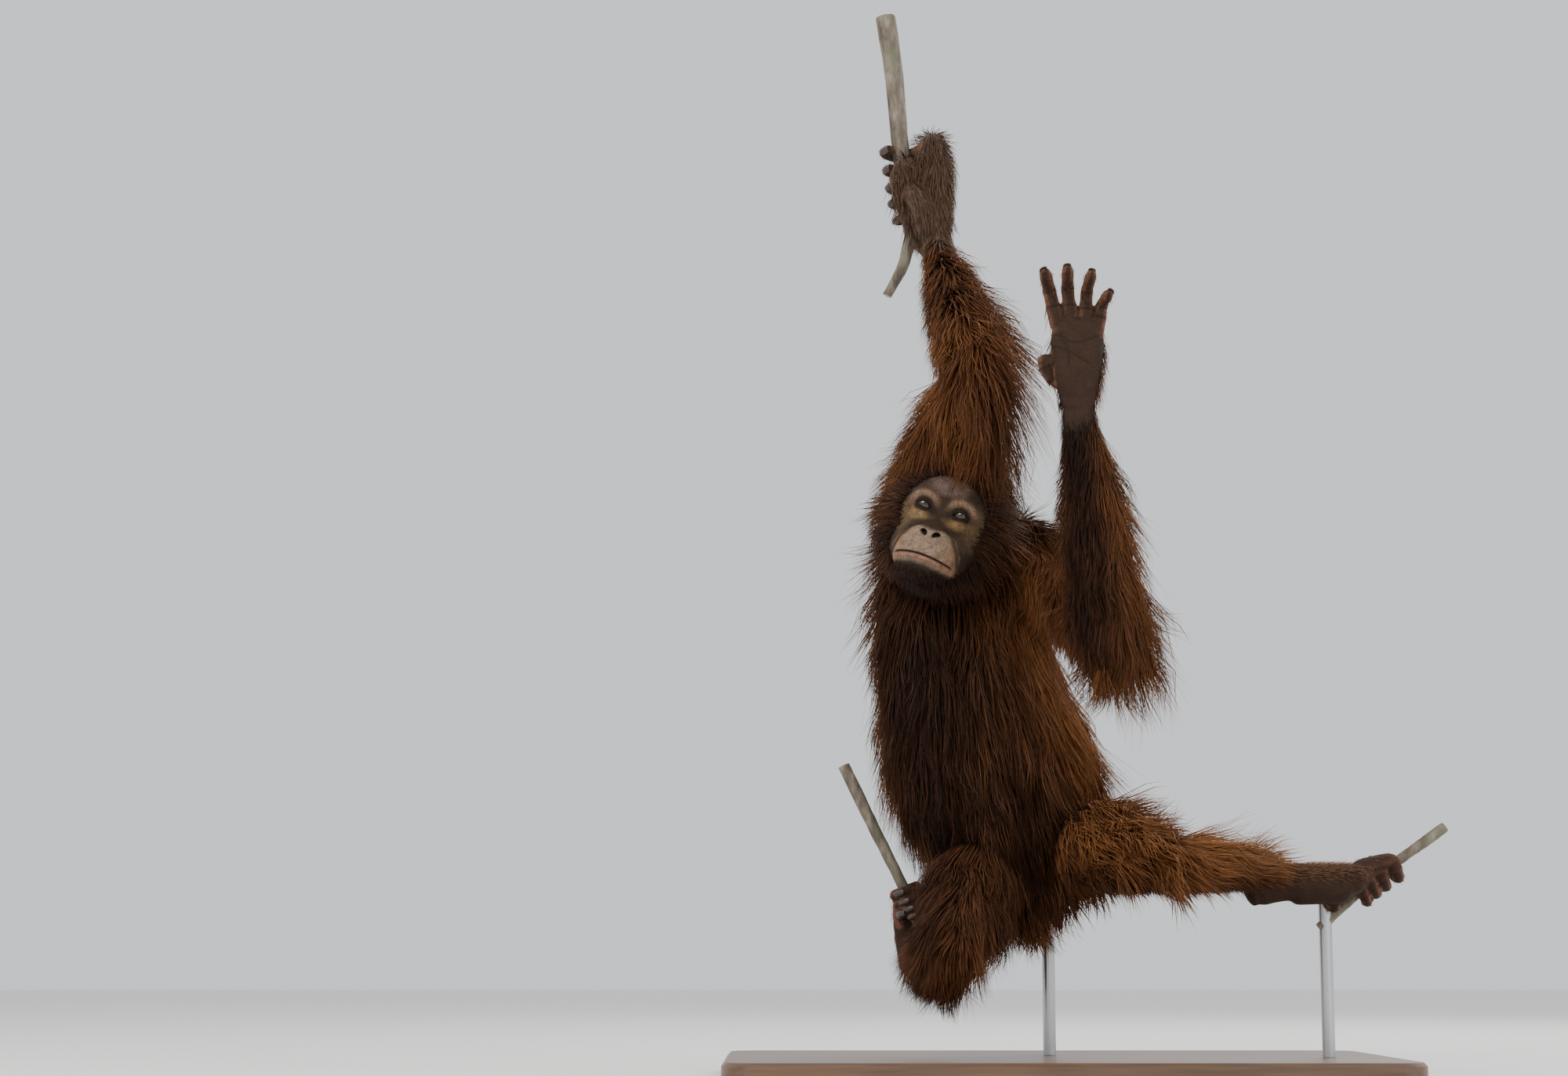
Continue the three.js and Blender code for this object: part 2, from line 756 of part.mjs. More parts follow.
// Roots in staggered rings along a bar; the lie follows the bar's flow and its weight.
// Locks grow by the share longer where they face that way.
function barRoots(shape, { rows, around, from, to, flow, weight, length, width, hang, longer, seed }) {
  const random = seeded(seed);
  const jitter = (size) => (random() - 0.5) * size;
  const roots = [];
  for (let row = 0; row < rows; row += 1) {
    for (let i = 0; i < around; i += 1) {
      const t = from + ((to - from) * (row + 0.5 + jitter(0.5))) / rows;
      const angle = ((i + (row % 2) / 2 + jitter(0.4)) / around) * Math.PI * 2;
      const out = shape.normal(t, angle);
      const way = shape.frame(t).along.multiplyScalar(flow).addScaledVector(down, weight);
      const reach = length * (1 + jitter(0.25)) * (1 + (longer ? out.dot(v3(...longer)) : 0));
      roots.push({
        root: shape.surface(t, angle),
        out,
        lie: flatTo(way, out),
        length: reach,
        width: width * (1 + jitter(0.3)),
        thick: 5,
        lift: Math.min(0.9, shape.coatAt(t) / (0.55 * length)),
        hang,
      });
    }
  }
  return roots;
}

// Roots in rings round the gaze, behind the hairline
function headRoots({ bends, length, width, depth, weight, hang, longer, seed }) {
  const random = seeded(seed);
  const jitter = (size) => (random() - 0.5) * size;
  return bends.flatMap(([bendDegrees, count], row) => {
    const roots = [];
    for (let i = 0; i < count; i += 1) {
      const turn = ((i + (row % 2) / 2 + jitter(0.3)) / count) * Math.PI * 2;
      const bend = THREE.MathUtils.degToRad(bendDegrees + jitter(5) + (Math.sin(turn) < -0.5 ? 14 : 0));
      const way = v3(Math.sin(bend) * Math.cos(turn), Math.cos(bend), Math.sin(bend) * Math.sin(turn));
      const behind = v3(Math.cos(bend) * Math.cos(turn), -Math.sin(bend), Math.cos(bend) * Math.sin(turn));
      const out = headWay(way.x, way.y, way.z);
      const lie = headWay(behind.x, behind.y, behind.z).addScaledVector(down, weight);
      const local = way.multiplyScalar(headRadius(way));
      const reach = length * (1 + jitter(0.25)) * (1 + out.dot(v3(...longer)));
      roots.push({
        root: inHead(local.x, local.y, local.z),
        out,
        lie: flatTo(lie, out),
        length: reach,
        width: width * (1 + jitter(0.3)),
        thick: 5,
        lift: Math.min(0.9, depth / (0.55 * length)),
        hang,
      });
    }
    return roots;
  });
}

const coats = {
  head: () => headRoots({
    bends: [[60, 11], [86, 10], [112, 8], [140, 5]],
    length: 58, width: 32, depth: 18, weight: 0.35, hang: 0.1,
    longer: [0.35, 0.1, -0.15], seed: 11,
  }),
  torso: () => barRoots(trunkBar, {
    rows: 6, around: 7, from: 0.06, to: 0.93, flow: -1, weight: 0.4, length: 100, width: 58, hang: 0,
    seed: 23,
  }),
  upper_arm_right: () => barRoots(limbs.upper_arm_right, {
    rows: 3, around: 6, from: 0.14, to: 0.98, flow: -0.4, weight: 1, length: 80, width: 40, hang: 0.12,
    longer: [0.35, 0, -0.1], seed: 31,
  }),
  forearm_right: () => barRoots(limbs.forearm_right, {
    rows: 4, around: 5, from: 0.1, to: 0.93, flow: -0.5, weight: 1, length: 66, width: 40, hang: 0.1,
    longer: [0.25, 0, 0], seed: 37,
  }),
  upper_arm_left: () => barRoots(limbs.upper_arm_left, {
    rows: 3, around: 6, from: 0.14, to: 0.98, flow: 0.3, weight: 1, length: 80, width: 40, hang: 0.05,
    longer: [0.25, 0.1, 0], seed: 41,
  }),
  forearm_left: () => barRoots(limbs.forearm_left, {
    rows: 4, around: 5, from: 0.08, to: 0.93, flow: -0.4, weight: 1, length: 78, width: 42, hang: 0.12,
    longer: [0.42, 0.3, 0], seed: 43,
  }),
  thigh_right: () => barRoots(limbs.thigh_right, {
    rows: 3, around: 6, from: 0.2, to: 0.98, flow: 0.5, weight: 0.7, length: 70, width: 40, hang: 0.1,
    seed: 47,
  }),
  shank_right: () => barRoots(limbs.shank_right, {
    rows: 2, around: 5, from: 0.1, to: 0.85, flow: 0.3, weight: 1, length: 50, width: 30, hang: 0.1,
    seed: 53,
  }),
  thigh_left: () => barRoots(limbs.thigh_left, {
    rows: 3, around: 6, from: 0.2, to: 0.98, flow: 0.5, weight: 0.7, length: 68, width: 40, hang: 0.1,
    seed: 59,
  }),
  shank_left: () => barRoots(limbs.shank_left, {
    rows: 3, around: 5, from: 0.08, to: 0.88, flow: -0.2, weight: 1, length: 50, width: 30, hang: 0.12,
    longer: [0, 0, 0.2], seed: 61,
  }),
};

function overlaps(a, b) {
  const p = a.boundingBox();
  const q = b.boundingBox();
  return [0, 1, 2].every((i) => p.min[i] < q.max[i] && q.min[i] < p.max[i]);
}

const built = [];
pieces.forEach(({ name, finish, shape }) => {
  let solid = shape(0);
  built.forEach((other) => {
    if (overlaps(solid, other.grown)) solid = solid.subtract(other.grown);
  });
  if (name === 'head') {
    const cuts = [mouthCut(), nostrilCut(1), nostrilCut(-1), lidCut('right'), lidCut('left')];
    solid = solid.subtract(join(cuts));
  }
  built.push({ name, finish, solid: largest(solid), grown: shape(gap) });
});

// A lock that would come too near another piece is shortened, or left out where none fits
const shorter = [1, 0.8, 0.62, 0.46];
built.filter(({ name }) => coats[name]).forEach((piece) => {
  const others = built.filter((other) => other !== piece);
  const misses = (shape, solid) => !overlaps(shape, solid) || shape.intersect(solid).isEmpty();
  const clear = (shape) => others.every(({ solid }) => misses(shape, solid));
  const locks = coats[piece.name]().flatMap((root) => {
    const share = shorter.find((size) => clear(lock({ ...root, length: root.length * size }, gap)));
    return share ? [lock({ ...root, length: root.length * share })] : [];
  });
  piece.solid = largest(join([piece.solid, ...locks]));
});

const model = new THREE.Group();
built.forEach(({ name, finish, solid }) => {
  const [color, roughness, metalness] = finishes[finish];
  const material = new THREE.MeshStandardMaterial({ color, roughness, metalness });
  const mesh = new THREE.Mesh(toGeometry(solid), material);
  mesh.name = name;
  model.add(mesh);
});

export default model;
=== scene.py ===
import math

import bmesh
import bpy
import numpy as np
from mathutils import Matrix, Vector


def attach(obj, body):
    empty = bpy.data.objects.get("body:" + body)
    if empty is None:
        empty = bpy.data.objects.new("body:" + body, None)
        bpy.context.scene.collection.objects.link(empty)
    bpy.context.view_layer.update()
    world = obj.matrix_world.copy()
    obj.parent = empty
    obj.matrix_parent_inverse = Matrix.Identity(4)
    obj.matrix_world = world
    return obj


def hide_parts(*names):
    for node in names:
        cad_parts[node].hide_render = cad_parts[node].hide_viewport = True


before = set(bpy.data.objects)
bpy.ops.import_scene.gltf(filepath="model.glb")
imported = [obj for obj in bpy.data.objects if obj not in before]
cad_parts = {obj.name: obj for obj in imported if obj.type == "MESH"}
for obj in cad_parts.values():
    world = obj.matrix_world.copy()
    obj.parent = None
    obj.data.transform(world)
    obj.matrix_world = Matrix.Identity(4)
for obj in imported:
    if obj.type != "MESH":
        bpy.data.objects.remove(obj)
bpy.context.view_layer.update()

mm = 0.001


# Small helpers on arrays of points

def unit(v):
    return v / np.maximum(np.linalg.norm(v, axis=-1, keepdims=True), 1e-9)


def aim(bearing, rise, length=1.0):
    b, r = math.radians(bearing), math.radians(rise)
    return length * np.array([math.cos(r) * math.cos(b), math.cos(r) * math.sin(b), math.sin(r)])


def flatTo(way, normal):
    return unit(way - normal * np.sum(way * normal, axis=-1, keepdims=True))


def smooth(low, high, value):
    t = np.clip((value - low) / (high - low), 0, 1)
    return t * t * (3 - 2 * t)


def bump(value, width):
    return np.exp(-(value / width) ** 2)


def ripple(points, scale, seed, waves=14):
    rng = np.random.default_rng(seed)
    ways = rng.normal(size=(waves, 3)) / scale
    return np.sin(points @ ways.T + rng.uniform(0, 6.283, waves)).sum(1) / math.sqrt(waves)


def curveAt(points, t):
    points = np.asarray(points, float)
    padded = np.vstack([2 * points[0] - points[1], points, 2 * points[-1] - points[-2]])
    s = np.clip(np.asarray(t, float), 0, 1) * (len(points) - 1)
    i = np.minimum(s.astype(int), len(points) - 2)
    u = (s - i)[..., None]
    a, b, c, d = padded[i], padded[i + 1], padded[i + 2], padded[i + 3]
    m, n = (c - a) / 2, (d - b) / 2
    return (2 * b - 2 * c + m + n) * u**3 + (-3 * b + 3 * c - 2 * m - n) * u**2 + m * u + b


def between(a, b, t):
    return a + (b - a) * t


def link(obj):
    bpy.context.scene.collection.objects.link(obj)
    return obj


def shadeSmooth(mesh):
    mesh.polygons.foreach_set("use_smooth", [True] * len(mesh.polygons))


def newObject(name, points, faces, smoothFaces=True):
    mesh = bpy.data.meshes.new(name)
    mesh.from_pydata([tuple(p) for p in np.asarray(points) * mm], [], faces)
    if smoothFaces:
        shadeSmooth(mesh)
    return link(bpy.data.objects.new(name, mesh))


def read(items, field, width=1, kind=float):
    flat = np.empty(len(items) * width, kind)
    items.foreach_get(field, flat)
    return flat.reshape(-1, width) if width > 1 else flat


def coordinates(mesh):
    return read(mesh.vertices, "co", 3) / mm


def setCoordinates(mesh, points):
    mesh.vertices.foreach_set("co", (points * mm).ravel())
    mesh.update()


def vertexNormals(mesh):
    return read(mesh.vertex_normals, "vector", 3)


def edgesOf(mesh):
    return read(mesh.edges, "vertices", 2, int)


def store(mesh, name, values, kind="FLOAT"):
    layer = mesh.attributes.new(name, kind, "POINT")
    field = {"FLOAT": "value", "FLOAT_VECTOR": "vector", "FLOAT_COLOR": "color"}[kind]
    layer.data.foreach_set(field, np.asarray(values, np.float32).ravel())


def edit(mesh, change):
    work = bmesh.new()
    work.from_mesh(mesh)
    change(work)
    work.to_mesh(mesh)
    work.free()


def bake(obj):
    graph = bpy.context.evaluated_depsgraph_get()
    final = obj.evaluated_get(graph)
    mesh = bpy.data.meshes.new_from_object(final, preserve_all_data_layers=True, depsgraph=graph)
    obj.modifiers.clear()
    obj.data = mesh
    return obj


def remeshed(obj, voxel):
    remesh = obj.modifiers.new("remesh", "REMESH")
    remesh.mode, remesh.voxel_size = "VOXEL", voxel * mm
    return bake(obj)


# Skeleton, with the solids' own sizes

pose = {
    "pelvis": (-26, 30, 248), "trunk": (180, 76, 261), "shoulderRise": (2, -5, 96),
    "shoulders": (-5, -18.5, 56), "hipHalf": 42, "headAt": (-120, -55, 589),
    "gaze": (-100.8, -0.9), "headTilt": 19.7,
    "upperArm": {"right": (-72.9, 42.2, 212), "left": (-65.5, -32, 212)},
    "forearm": {"right": (100.4, 47.1, 246), "left": (-108.3, 64.3, 246)},
    "thigh": {"right": (-110.8, -35.2, 180), "left": (-67.9, -10, 180)},
    "shank": {"right": (98.4, -8.5, 155), "left": (20.4, -3.3, 155)},
}

pelvis = np.array(pose["pelvis"], float)
chest = pelvis + aim(*pose["trunk"])
shoulderMid = chest + np.array(pose["shoulderRise"], float)
shoulder = {"right": shoulderMid - aim(*pose["shoulders"]), "left": shoulderMid + aim(*pose["shoulders"])}
elbow = {side: shoulder[side] + aim(*pose["upperArm"][side]) for side in shoulder}
wrist = {side: elbow[side] + aim(*pose["forearm"][side]) for side in shoulder}
hip = {"right": pelvis + (-pose["hipHalf"], 0, 0), "left": pelvis + (pose["hipHalf"], 0, 5)}
knee = {side: hip[side] + aim(*pose["thigh"][side]) for side in hip}
ankle = {side: knee[side] + aim(*pose["shank"][side]) for side in hip}
front, up, down = np.array([0.0, -1, 0]), np.array([0.0, 0, 1]), np.array([0.0, 0, -1])


class Bar:
    def __init__(self, stations, facing, caps=(20, 20), knuckles=()):
        self.points = np.array([s[0] for s in stations], float)
        self.sizes = np.array([[s[1], s[2], s[3] if len(s) > 3 else 0] for s in stations], float)
        self.facing = np.asarray(facing, float)
        self.knuckles = knuckles
        fine = curveAt(self.points, np.linspace(0, 1, 200))
        self.length = np.linalg.norm(np.diff(fine, axis=0), axis=1).sum()
        self.caps = [cap / self.length for cap in caps]

    def frameAt(self, t):
        t = np.asarray(t, float)
        ahead = curveAt(self.points, np.minimum(t + 1e-4, 1))
        along = unit(ahead - curveAt(self.points, np.maximum(t - 1e-4, 0)))
        depth = flatTo(np.broadcast_to(self.facing, along.shape), along)
        return along, depth, np.cross(depth, along)

    def surface(self, t, angle, grow=0.0, inset=0.0):
        t, angle = np.broadcast_arrays(np.asarray(t, float), np.asarray(angle, float))
        along, depth, width = self.frameAt(t)
        u = np.where(t < self.caps[0], 1 - t / self.caps[0], 0)
        u = np.where(t > 1 - self.caps[1], 1 - (1 - t) / self.caps[1], u)
        end = np.where(t < 0.5, -1.0, 1.0)
        shrink = np.sqrt(np.clip(1 - u * u, 0, 1))
        size = curveAt(self.sizes, t)
        out = grow - np.minimum(8, inset * size[..., 2])
        swell = 1 + sum(0.09 * bump(t - k, 0.05) for k in self.knuckles) if self.knuckles else 1
        across = np.cos(angle) * (size[..., 0] * swell + out) * shrink
        deep = np.sin(angle) * (size[..., 1] * swell + out) * shrink
        spot = curveAt(self.points, t) + width * across[..., None] + depth * deep[..., None]
        return spot + along * (end * out * u)[..., None]

    def mesh(self, pitch=3.0, sides=28, grow=0.0, inset=0.0):
        rings = max(8, int(self.length / pitch))
        bends = np.linspace(0, math.pi / 2, 7)[1:]
        places = np.concatenate([
            self.caps[0] * (1 - np.cos(bends)),
            np.linspace(self.caps[0], 1 - self.caps[1], rings)[1:-1],
            1 - self.caps[1] * (1 - np.cos(bends[::-1])),
        ])
        angles = np.linspace(0, 2 * math.pi, sides, endpoint=False)
        grid = self.surface(places[:, None], angles[None, :], grow, inset)
        poles = [self.surface(0.0, 0.0, grow, inset), self.surface(1.0, 0.0, grow, inset)]
        return stack(grid, *poles)


def stack(grid, startPole, endPole):
    rings, sides = grid.shape[:2]
    points = np.vstack([startPole[None], grid.reshape(-1, 3), endPole[None]])
    last = len(points) - 1
    faces = []
    for i in range(sides):
        j = (i + 1) % sides
        faces.append((0, 1 + j, 1 + i))
        faces.append((last, last - sides + i, last - sides + j))
        for ring in range(rings - 1):
            a, b = 1 + ring * sides, 1 + (ring + 1) * sides
            faces.append((a + i, a + j, b + j, b + i))
    return points, faces


def polarAngles(rings, sides):
    bends = np.linspace(0, math.pi, rings + 2)[1:-1]
    turns = np.linspace(0, 2 * math.pi, sides, endpoint=False)
    return np.meshgrid(bends, turns, indexing="ij")


def limb(start, end, facing, sizes):
    return Bar([(between(start, end, t), w, d, coat) for t, w, d, coat in sizes], facing, caps=(24, 16))


# The head: a surface pulled from an oval skull through its landmarks, [right, forward, up] from its middle

skull = {"width": 57, "front": 62, "back": 76, "top": 64, "bottom": 60, "reach": 0.24}
landmarks = {
    "crown": (0, -5, 64), "forehead": (0, 44, 52), "foreheadSide": (30, 38, 44), "browMiddle": (0, 60, 29),
    "brow": (20, 62, 28), "browEnd": (37, 49, 25), "noseRoot": (0, 59, 13), "lid": (21, 61, 14),
    "eyeCorner": (37, 49, 11), "underEye": (21, 61, 0), "cheek": (35, 50, -10), "noseBridge": (0, 68, 2),
    "noseTip": (0, 80, -9), "noseWing": (11, 80, -12), "noseBase": (0, 87, -19), "upperLip": (0, 94, -31),
    "upperLipSide": (20, 86, -31), "lipEdge": (0, 95, -37), "lipCorner": (32, 71, -41),
    "lowerLip": (0, 90, -46), "lowerLipSide": (19, 80, -50), "chin": (0, 77, -62),
    "chinSide": (22, 63, -60), "jaw": (43, 30, -46), "throat": (0, 36, -66), "temple": (50, 22, 24),
    "side": (57, 0, 0), "jawBack": (52, 0, -34), "nape": (0, -52, -40), "occiput": (0, -75, 8),
}


def skullRadius(way):
    y = np.where(way[:, 1] > 0, skull["front"], skull["back"])
    z = np.where(way[:, 2] > 0, skull["top"], skull["bottom"])
    return 1 / np.sqrt((way[:, 0] / skull["width"]) ** 2 + (way[:, 1] / y) ** 2 + (way[:, 2] / z) ** 2)


def nearness(a, b):
    away = np.arccos(np.clip(a @ b.T, -1, 1)) / skull["reach"]
    return (1 + away + away**2 / 3) * np.exp(-away)


marks = np.array([
    mark for x, y, z in landmarks.values() for mark in ([(x, y, z), (-x, y, z)] if x else [(x, y, z)])
], float)
markWays = unit(marks)
markOut = np.linalg.norm(marks, axis=1) - skullRadius(markWays)
markPulls = np.linalg.solve(nearness(markWays, markWays), markOut)


def headRadius(way):
    return skullRadius(way) + nearness(way, markWays) @ markPulls


headFrame = np.eye(3)
headFrame[:, 1] = aim(*pose["gaze"])
level = unit(np.cross(headFrame[:, 1], up))
upright = np.cross(level, headFrame[:, 1])
tilt = math.radians(pose["headTilt"])
headFrame[:, 0] = level * math.cos(tilt) + upright * math.sin(tilt)
headFrame[:, 2] = np.cross(headFrame[:, 0], headFrame[:, 1])
headAt = np.array(pose["headAt"], float)


def inHead(local):
    return np.asarray(local, float) @ headFrame.T + headAt


def toHead(points):
    return (points - headAt) @ headFrame


# Eyes and the face's own relief, in millimetres out from the head's surface

face = {
    "eyeAt": (21, 50, 14), "eyeRadius": 10.5, "lidThick": 1.5, "openWide": 7.6, "openHigh": 3.7,
    "mouthHalf": 31, "mouthZ": -40.5, "mouthDrop": 3.5, "nostrilAt": (6.8, -15.5),
    "foldHeights": (-50, -42, -28, -14, -6), "foldSides": (37, 37, 33, 24, 12),
}


def eyeDistance(way, side, radius):
    centre = np.array(face["eyeAt"], float) * (side, 1, 1)
    b = way @ centre
    under = radius**2 - centre @ centre + b**2
    return np.where(under > 0, b + np.sqrt(np.maximum(under, 0)), -1e3)


def faceMarks(x, z):   # from the middle line, from the eye, the cheek's fold, the lips' line, the nostril
    ax = np.abs(x)
    dx, dz = ax - face["eyeAt"][0], z - face["eyeAt"][2]
    fold = np.interp(z, face["foldHeights"], face["foldSides"])
    line = face["mouthZ"] - face["mouthDrop"] * (x / face["mouthHalf"]) ** 2
    nx, nz = face["nostrilAt"]
    turn = (ax - nx) * 0.87 + (z - nz) * 0.5
    cross = -(ax - nx) * 0.5 + (z - nz) * 0.87 + 0.05 * turn**2
    return ax, dx, dz, fold, line, turn, cross


def faceRadius(way):
    radius = headRadius(way)
    spot = way * radius[:, None]
    x, z = spot[:, 0], spot[:, 2]
    ax, dx, dz, fold, line, turn, cross = faceMarks(x, z)
    ring = np.hypot(dx, dz * 1.1)
    relief = 1.6 * bump(ring - 15.5, 3.2) * smooth(-2, 7, dz)   # brow
    relief -= 2.2 * bump(ring, 11)   # eye socket
    relief += 1.7 * bump(np.hypot(dx / 1.7, dz + 10.5), 4.0)   # bag under the eye
    relief -= 1.0 * bump(dz + 14.5 - 0.012 * dx**2, 1.3) * bump(dx, 14)
    relief -= 0.7 * bump(dz + 8.2 - 0.02 * dx**2, 0.9) * bump(dx, 9)
    relief -= 1.9 * bump(ax - fold, 2.4) * smooth(-4, -12, z) * smooth(-52, -40, z)   # fold of the cheek
    relief += 1.2 * bump(ax - fold - 5, 4.5) * smooth(-4, -12, z) * smooth(-52, -40, z)
    relief += 1.2 * bump(np.hypot(ax - 7.5, z + 12.5), 6)   # wing of the nose
    relief -= 6.5 * smooth(1.25, 0.55, np.hypot(turn / 4.6, cross / 2.7))   # nostril
    relief -= 0.8 * bump(ax - 13.5, 1.2) * bump(z + 13, 5)
    lip = smooth(face["mouthHalf"] + 3, face["mouthHalf"] - 4, ax)
    relief -= 4.2 * bump(z - line, 0.95) * lip   # between the lips
    relief += 0.9 * bump(z - line - 3.2, 2.2) * lip
    relief += 1.5 * bump(z - line + 3.0, 2.2) * lip
    relief -= 1.3 * bump(z - line + 9.0, 3.0) * bump(x, 22)
    relief += 0.28 * ripple(spot, 4.2, 5) * bump(np.hypot(x / 40, (z + 22) / 26), 1)   # uneven muzzle
    relief -= 0.6 * bump(z - 36 + 0.004 * x**2, 1.2) * bump(x, 22) * smooth(-1, 1, ripple(spot, 9, 8))
    radius = radius + relief * smooth(0.05, 0.35, way[:, 1])
    u = dx / face["openWide"]
    high = face["openHigh"] * np.clip(1 - u**2, 0, 1) ** 0.65
    low = -0.72 * face["openHigh"] * np.clip(1 - u**2, 0, 1) ** 0.8
    tiltZ = dz - 0.08 * dx
    gap = np.minimum(high - tiltZ, tiltZ - low)
    for side in (-1, 1):
        near = (x * side > 0) & (ring < 18)
        lidTop = eyeDistance(way, side, face["eyeRadius"] + face["lidThick"])
        hold = smooth(16, 9, ring) * near
        radius = np.where(near, np.maximum(radius, radius + (lidTop - radius) * hold), radius)
        rim = bump(gap + 0.9, 0.9) * smooth(1.15, 0.9, np.abs(u)) * near
        radius = radius + 0.5 * rim
        radius = radius - 0.7 * bump(tiltZ - high - 3.6, 0.8) * smooth(1.2, 0.8, np.abs(u)) * near
        opened = smooth(-0.35, 0.45, gap) * near * (np.abs(u) < 1)
        behind = eyeDistance(way, side, face["eyeRadius"]) - 2.2
        radius = np.where(behind > 0, radius + (behind - radius) * opened, radius)
    return radius


headSizes = {"rings": 90, "sides": 120, "underHair": 6, "faceEdge": (1.15, 1.5)}


def headMesh():
    b, t = polarAngles(headSizes["rings"], headSizes["sides"])
    ways = np.stack([np.sin(b) * np.cos(t), np.cos(b), np.sin(b) * np.sin(t)], -1)
    inset = headSizes["underHair"] * smooth(*headSizes["faceEdge"], b)
    local = ways * (headRadius(ways.reshape(-1, 3)).reshape(b.shape) - inset)[..., None]
    ends = []
    for forward, sunk in ((1.0, 0), (-1.0, headSizes["underHair"])):
        way = np.array([[0, forward, 0]])
        ends.append(inHead((way * (headRadius(way) - sunk)[:, None])[0]))
    return stack(inHead(local), *ends)


ear = {"at": (59, -6, 8), "lean": 28, "thick": 3.4, "hollow": 2.2, "rim": 2.4, "wide": 10.5, "tall": 16.5}


def earMesh(side):
    b, t = polarAngles(14, 24)
    hollow = np.where(np.cos(b) > 0, -ear["hollow"] * np.sin(b) ** 2, 0) * 0.6
    x = np.cos(b) * (ear["thick"] - 1.5 * np.sin(b)) + hollow
    y, z = np.sin(b) * np.cos(t) * ear["wide"], np.sin(b) * np.sin(t) * ear["tall"]
    rim = smooth(0.72, 1.0, np.sin(b)) * ear["rim"]
    x = x + rim * np.where(np.cos(b) >= 0, 1, 0.2)
    lean = math.radians(ear["lean"])
    grid = np.stack([x * math.cos(lean) - y * math.sin(lean), y * math.cos(lean) + x * math.sin(lean), z], -1)
    ends = np.array([[ear["thick"] - 1.4, 0, 0], [-ear["thick"], 0, 0]])
    ends = np.stack([ends[:, 0] * math.cos(lean), ends[:, 0] * math.sin(lean), ends[:, 2]], -1)
    grid, ends = grid + np.array(ear["at"], float), ends + np.array(ear["at"], float)
    if side < 0:
        grid, ends = grid[:, ::-1] * (-1, 1, 1), ends * (-1, 1, 1)
    return stack(inHead(grid), inHead(ends[0]), inHead(ends[1]))


# Trunk, neck and limbs; the last size of a station is the coat's depth

trunkBar = Bar([
    (pelvis + (4, 6, -66), 44, 40, 12),
    (pelvis + (-6, 2, 2), 86, 66, 16),
    (between(pelvis, chest, 0.4) + (-16, -2, 0), 103, 82, 16),
    (between(pelvis, chest, 0.72) + (-18, -2, 0), 94, 82, 17),
    (chest + (-12, 4, 22), 84, 72, 18),
    (chest + (-4, 22, 72), 76, 52, 20),
    (chest + (0, 30, 122), 46, 34, 22),
], front, caps=(44, 30))
neckBar = Bar([
    (shoulderMid + (-4, 34, -22), 42, 44, 14),
    (shoulderMid + (-16, -14, -12), 44, 46, 14),
    (inHead((0, -20, -12)), 42, 46, 10),
], down, caps=(12, 12))
limbs = {
    "upper_arm_right": limb(shoulder["right"], elbow["right"], (1, 0, 0),
        [(-0.12, 34, 40, 18), (0.2, 38, 42, 26), (0.6, 32, 34, 30), (0.9, 30, 30, 26), (1.06, 24, 24, 18)]),
    "forearm_right": limb(elbow["right"], wrist["right"], (-1, 0, 0),
        [(-0.1, 28, 26, 22), (0.18, 33, 30, 20), (0.5, 28, 26, 16), (0.82, 20, 18, 9), (1.02, 17, 16, 5)]),
    "upper_arm_left": limb(shoulder["left"], elbow["left"], up,
        [(-0.14, 34, 38, 16), (0.2, 36, 38, 22), (0.6, 32, 33, 28), (0.9, 30, 30, 30), (1.08, 24, 24, 22)]),
    "forearm_left": limb(elbow["left"], wrist["left"], front,
        [(-0.1, 30, 28, 30), (0.18, 33, 31, 28), (0.5, 29, 27, 24), (0.82, 21, 20, 12), (1.02, 17, 16, 5)]),
    "thigh_right": limb(hip["right"], knee["right"], down,
        [(-0.1, 50, 52, 14), (0.3, 46, 48, 18), (0.75, 36, 38, 24), (1.08, 28, 28, 22)]),
    "shank_right": limb(knee["right"], ankle["right"], down,
        [(-0.1, 27, 26, 20), (0.25, 28, 28, 18), (0.65, 23, 22, 14), (1.04, 17, 18, 6)]),
    "thigh_left": limb(hip["left"], knee["left"], down,
        [(-0.1, 50, 54, 14), (0.3, 47, 50, 18), (0.75, 38, 40, 20), (1.06, 30, 30, 18)]),
    "shank_left": limb(knee["left"], ankle["left"], down,
        [(-0.1, 28, 28, 18), (0.25, 28, 28, 16), (0.65, 22, 22, 12), (1.04, 17, 18, 5)]),
}

# Cut lengths of branch that the hand and the feet hold: points, and radius at the start and the end

branches = {
    "hand": ([(-177, 76, 1217), (-167, 76, 1140), (-160, 78, 1058), (-151, 86, 985), (-146, 90, 946)], 12, 9),
    "forkLeft": ([(-148, 90, 958), (-158, 90, 920), (-177, 90, 884)], 8, 6),
    "forkRight": ([(-146, 92, 956), (-118, 98, 925), (-82, 106, 894)], 8, 6),
    "rightFoot": ([(-230, 26, 339), (-198, 27, 272), (-165, 28, 205), (-148, 28, 162)], 7, 6),
    "leftFoot": ([(421, -30, 268), (384, -31, 242), (343, -32, 214), (314, -33, 189), (280, -34, 158)], 6, 6),
}


def stick(points, start, end):
    sizes = np.linspace(start, end, len(points))
    return Bar([(p, r, r) for p, r in zip(points, sizes)], front, caps=(1.5, 1.5))


sticks = {name: stick(*branch) for name, branch in branches.items()}


grip = {"clear": 1, "approach": 12, "root": 14, "steps": 5, "taper": 0.06, "knuckles": (0.3, 0.62, 0.85)}


